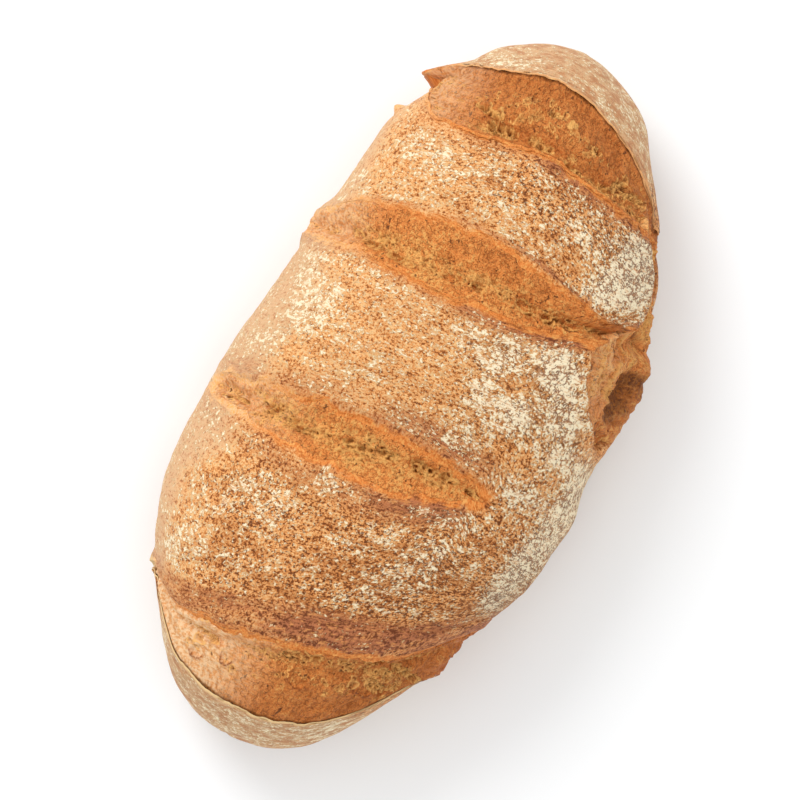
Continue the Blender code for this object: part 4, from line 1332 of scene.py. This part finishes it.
def skin_material():
    s = Surface("crust")
    place = s.place("grain")
    lying = s.place("grain", (1.0, 0.32, 0.32))
    drawn = s.place("grain", (1.0, 0.14, 0.14))
    line = s.noise(drawn, 0.8, 2.0, 0.65)
    streak = s.noise(lying, 0.9, 3.0, 0.65)
    speck = s.noise(s.place("grain", (1.0, 0.8, 0.8)), 0.95, 3.0, 0.68)
    fine = s.noise(place, 0.55, 2.0, 0.6)
    clump = s.noise(s.place("grain", (1.0, 0.7, 0.7)), 3.0, 3.0, 0.6)
    broad = s.noise(lying, 8.0, 3.0)
    # baked carries the baking together with painted shade towards -Y and painted light towards +Y
    baked = s.value("baked")
    mottle = s.plus(s.times(speck, 0.5), s.times(fine, 0.2), s.times(clump, 0.18), s.times(streak, 0.12),
                    s.line(baked, 0.0, 1.0, 0.028, -0.043))
    colour = s.mix(s.span(mottle, 0.436, 0.478), SKIN_DARK, SKIN_MID)
    colour = s.mix(s.span(mottle, 0.495, 0.54), colour, SKIN_LIGHT)
    colour = s.mix(s.times(s.span(broad, 0.46, 0.62), s.line(baked, 0.0, 1.0, 0.0, 0.45)), colour, SKIN_DARK)
    fleck = s.times(s.span(mottle, 0.442, 0.408), s.line(baked, 0.1, 0.8, 0.45, 0.95))
    colour = s.mix(fleck, colour, SKIN_FLECK)
    # Where little baked, the skin turns pale: partly its own paleness, partly painted light on the +Y side
    pale_and_lit_skin = s.mix(s.span(mottle, 0.44, 0.5), SKIN_CAP_DARK, SKIN_PALE)
    colour = s.mix(s.span(baked, 0.3, 0.0, 0.0, 0.75), colour, pale_and_lit_skin)
    tone = s.plus(s.times(line, 0.5), s.times(fine, 0.25), s.times(speck, 0.25))
    soft = s.plus(s.times(line, 0.3), s.times(clump, 0.5), s.times(fine, 0.2))
    cap = s.mix(s.span(soft, 0.42, 0.55), SKIN_CAP_DARK, SKIN_CAP)
    colour = s.mix(s.times(s.value("cap"), 0.9), colour, cap)
    mauve = s.mix(s.span(tone, 0.43, 0.53), SKIN_MAUVE_DARK, SKIN_MAUVE)
    mauve = s.mix(s.span(streak, 0.53, 0.64, 0.0, 0.7), mauve, SKIN_MID)
    colour = s.mix(s.times(s.value("mauve"), s.span(broad, 0.36, 0.56, 0.35, 1.0)), colour, mauve)
    colour = s.mix(s.times(s.times(fleck, s.value("mauve")), 0.6), colour, SKIN_FLECK)
    under = s.mix(s.span(mottle, 0.44, 0.56), SKIN_CAP_DARK, SKIN_UNDER)
    colour = s.mix(s.times(s.value("under"), 0.8), colour, under)
    torn = s.value("torn")
    mixed = s.plus(s.times(streak, 0.5), s.times(s.noise(place, 2.4, 3.0, 0.65), 0.5))
    ragged = s.plus(torn, s.span(line, 0.3, 0.7, -0.3, 0.3), s.span(clump, 0.3, 0.7, -0.25, 0.25))
    stretched = s.mix(0.14, stretched_crumb(s, mixed, line, fine), CRUMB_BROWN)
    stretched = s.mix(s.span(fine, 0.45, 0.36, 0.0, 0.6), stretched, CRUMB_RUST)
    pale = s.mix(s.span(fine, 0.4, 0.6), CRUMB_GOLD, CRUMB_PALE)
    stretched = s.mix(s.times(s.value("pale"), 0.75), stretched, pale)
    colour = s.mix(s.span(ragged, 0.15, 0.9), colour, stretched)

    dust = s.noise(s.bent(s.place("grain", (1.0, 0.85, 0.85)), 1.1, 0.7), 1.05, 2.0, 0.6)
    drift = s.noise(s.place("grain", (1.0, 0.5, 0.5)), 11.0, 1.0)
    field = s.plus(s.times(dust, 0.55), s.times(clump, 0.3), s.times(drift, 0.15))
    cover = s.value("flour")
    over = s.maths("SUBTRACT", field, s.line(cover, 0.0, 1.0, 0.6, 0.34))
    walls = s.plus(s.cells(s.bent(place, 2.4, 3.0), 2.5), s.line(speck, 0.3, 0.7, 0.14, -0.14))
    crack = s.maths("MAXIMUM", s.span(walls, 0.025, 0.12), s.span(clump, 0.51, 0.58))
    gap = s.times(s.span(cover, 0.4, 0.85, 0.0, 0.92), s.line(crack, 0.0, 0.6, 1.0, 0.0))
    colour = s.mix(gap, colour, s.mix(s.span(fine, 0.42, 0.58), SKIN_FLECK, SKIN_GAP))
    flour = s.times(s.span(over, -0.008, 0.014), crack)
    flour = s.times(flour, s.span(mottle, 0.41, 0.45, 0.1, 1.0))
    flour = s.maths("MAXIMUM", flour, s.span(cover, 0.1, 1.0, 0.0, 0.16))
    flour = s.times(flour, s.span(ragged, 0.1, 0.7, 1.0, 0.0))
    flour_colour = s.mix(s.span(over, 0.0, 0.08), FLOUR_SHADE, FLOUR_WHITE)
    colour = s.mix(flour, colour, flour_colour)
    colour = s.mix(s.value("rim"), colour, RIM_PALE)
    # Painted shade on skin out of sight
    colour = s.mix(s.value("inside"), colour, SKIN_IN_SHADE)
    height = s.plus(s.times(flour, 0.25), s.times(mottle, 1.8), s.times(s.value("mauve"), s.times(line, 1.2)))
    roughness = s.line(flour, 0.0, 1.0, 0.6, 0.95)
    s.shader.inputs["Specular IOR Level"].default_value = 0.2
    return s.finish(colour, roughness, height, SKIN_BUMP)


def crumb_material():
    s = Surface("crumb")
    place = s.place("grain")
    lying = s.place("grain", (1.0, 0.32, 1.0))
    patchy = s.noise(place, 2.4, 3.0, 0.65)
    middling = s.noise(place, 1.1, 3.0, 0.6)
    fine = s.noise(place, 0.5, 2.0, 0.6)
    streak = s.noise(lying, 0.8, 2.0, 0.6)
    # Crests are painted lighter and valleys darker: painted light and shade on the relief
    tone = s.plus(s.times(patchy, 0.5), s.times(middling, 0.5),
                  s.line(s.value("crest"), 0.0, 1.0, -0.09, 0.09),
                  s.line(s.value("baked"), 0.0, 1.0, 0.03, -0.06))
    colour = stretched_crumb(s, tone, streak, fine)
    colour = s.mix(s.times(s.value("open"), 0.2), colour, CRUMB_GOLD)
    # Browner where baked, which near an ear is also painted shade
    colour = s.mix(s.times(s.value("baked"), 0.42), colour, CRUMB_BROWN)
    # Creases and small dots of pits are painted dark: painted shade
    crease = s.times(s.span(s.cells(s.bent(place, 1.6, 1.4), 1.7), 0.1, 0.02), s.span(patchy, 0.56, 0.44))
    colour = s.mix(s.span(fine, 0.45, 0.36, 0.0, 0.8), colour, CRUMB_RUST)
    colour = s.mix(s.times(crease, 0.3), colour, CRUMB_PIT_SHADE)
    dot = s.plus(s.times(s.noise(place, 1.4, 1.0, 0.5), 0.6), s.times(s.noise(place, 5.0, 1.0), 0.4))
    colour = s.mix(s.span(dot, 0.385, 0.34, 0.0, 0.8), colour, CRUMB_PIT_SHADE)
    drawn = s.plus(s.times(streak, 0.55), s.times(patchy, 0.45))
    pale = s.mix(s.span(drawn, 0.42, 0.56), CRUMB_PEACH, CRUMB_PALE)
    colour = s.mix(s.times(s.value("pale"), s.span(tone, 0.36, 0.44, 0.65, 0.95)), colour, pale)
    olive = s.mix(s.span(middling, 0.4, 0.6), CRUMB_OLIVE_DARK, CRUMB_OLIVE)
    colour = s.mix(s.times(s.value("olive"), 0.6), colour, olive)
    colour = s.mix(s.times(s.value("rust"), s.span(middling, 0.35, 0.6, 0.9, 0.4)), colour, CRUMB_RUST)
    colour = s.mix(s.times(s.value("strand"), 0.95), colour, CRUMB_GOLD)
    # Painted shade in the pores and hollows
    pitted = s.plus(s.value("pore"), s.span(middling, 0.3, 0.7, 0.15, -0.15))
    colour = s.mix(s.span(pitted, 0.45, 0.95, 0.0, 0.8), colour, CRUMB_PIT_SHADE)
    # Painted shade from the dark value, under ears and in clefts
    colour = s.mix(s.value("dark"), colour, s.mix(s.span(middling, 0.4, 0.6), CRUMB_PIT_SHADE, CRUMB_CLEFT_SHADE))
    height = s.times(s.plus(s.times(fine, 0.6), s.times(tone, 1.6), s.times(crease, -0.3)),
                     s.line(s.value("pale"), 0.0, 1.0, 1.0, 0.55))
    roughness = s.span(fine, 0.3, 0.7, 0.5, 0.72)
    s.shader.inputs["Specular IOR Level"].default_value = 0.25
    return s.finish(colour, roughness, height, CRUMB_BUMP)


# ---------------------------------------------------------------- stage
def view_axes():
    turn = math.radians(VIEW_TURN)
    right = Vector((math.cos(turn), -math.sin(turn), 0.0))
    up = Vector((math.sin(turn), math.cos(turn), 0.0))
    return right, up


def add_camera():
    right, up = view_axes()
    camera = bpy.data.objects.new("camera", bpy.data.cameras.new("camera"))
    bpy.context.scene.collection.objects.link(camera)
    camera.data.sensor_width = SENSOR
    camera.data.lens = SENSOR * VIEW_HEIGHT / (FRAME_PIXELS * VIEW_SCALE)
    turned = Matrix((right, up, right.cross(up))).transposed().to_4x4()
    place = Vector((*VIEW_MIDDLE, VIEW_LEVEL + VIEW_HEIGHT)) * MM
    camera.matrix_world = Matrix.Translation(place) @ turned
    bpy.context.scene.camera = camera


def add_light(name, place, size, power):
    lamp = bpy.data.lights.new(name, "AREA")
    lamp.shape = "DISK"
    lamp.size = size
    lamp.energy = power
    light = bpy.data.objects.new(name, lamp)
    bpy.context.scene.collection.objects.link(light)
    light.location = place
    light.rotation_euler = (Vector(KEY_AIM) - place).to_track_quat("-Z", "Y").to_euler()


def add_floor():
    material = bpy.data.materials.new("floor")
    material.use_nodes = True
    shader = material.node_tree.nodes["Principled BSDF"]
    shader.inputs["Base Color"].default_value = FLOOR_COLOUR
    shader.inputs["Roughness"].default_value = 0.9
    shader.inputs["Specular IOR Level"].default_value = 0.1
    mesh = bpy.data.meshes.new("floor")
    reach = FLOOR_REACH
    corners = [(-reach, -reach, 0), (reach, -reach, 0), (reach, reach, 0), (-reach, reach, 0)]
    mesh.from_pydata(corners, [], [(0, 1, 2, 3)])
    mesh.materials.append(material)
    floor = bpy.data.objects.new("floor", mesh)
    bpy.context.scene.collection.objects.link(floor)
    floor.location.z = -FLOOR_DROP


def add_stage():
    right, up = view_axes()
    to_right, upward, height = KEY_PLACE
    add_light("key", right * to_right + up * upward + Vector((0.0, 0.0, height)), KEY_SIZE, KEY_POWER)
    world = bpy.data.worlds.new("studio")
    world.use_nodes = True
    world.node_tree.nodes["Background"].inputs["Color"].default_value = (1.0, 1.0, 1.0, 1.0)
    world.node_tree.nodes["Background"].inputs["Strength"].default_value = SKY_STRENGTH
    bpy.context.scene.world = world
    bpy.context.scene.view_settings.view_transform = "Standard"
    add_floor()
    add_camera()


crust = skin_material()
crumb = crumb_material()
build_skin(crust)
for order, slash_name in enumerate(SLASHES):
    build_crumb(slash_name, crumb, SEEDS["crumb"] + CRUMB_SEED_STEP * order)
build_burst(crumb, SEEDS["burst"])
add_stage()
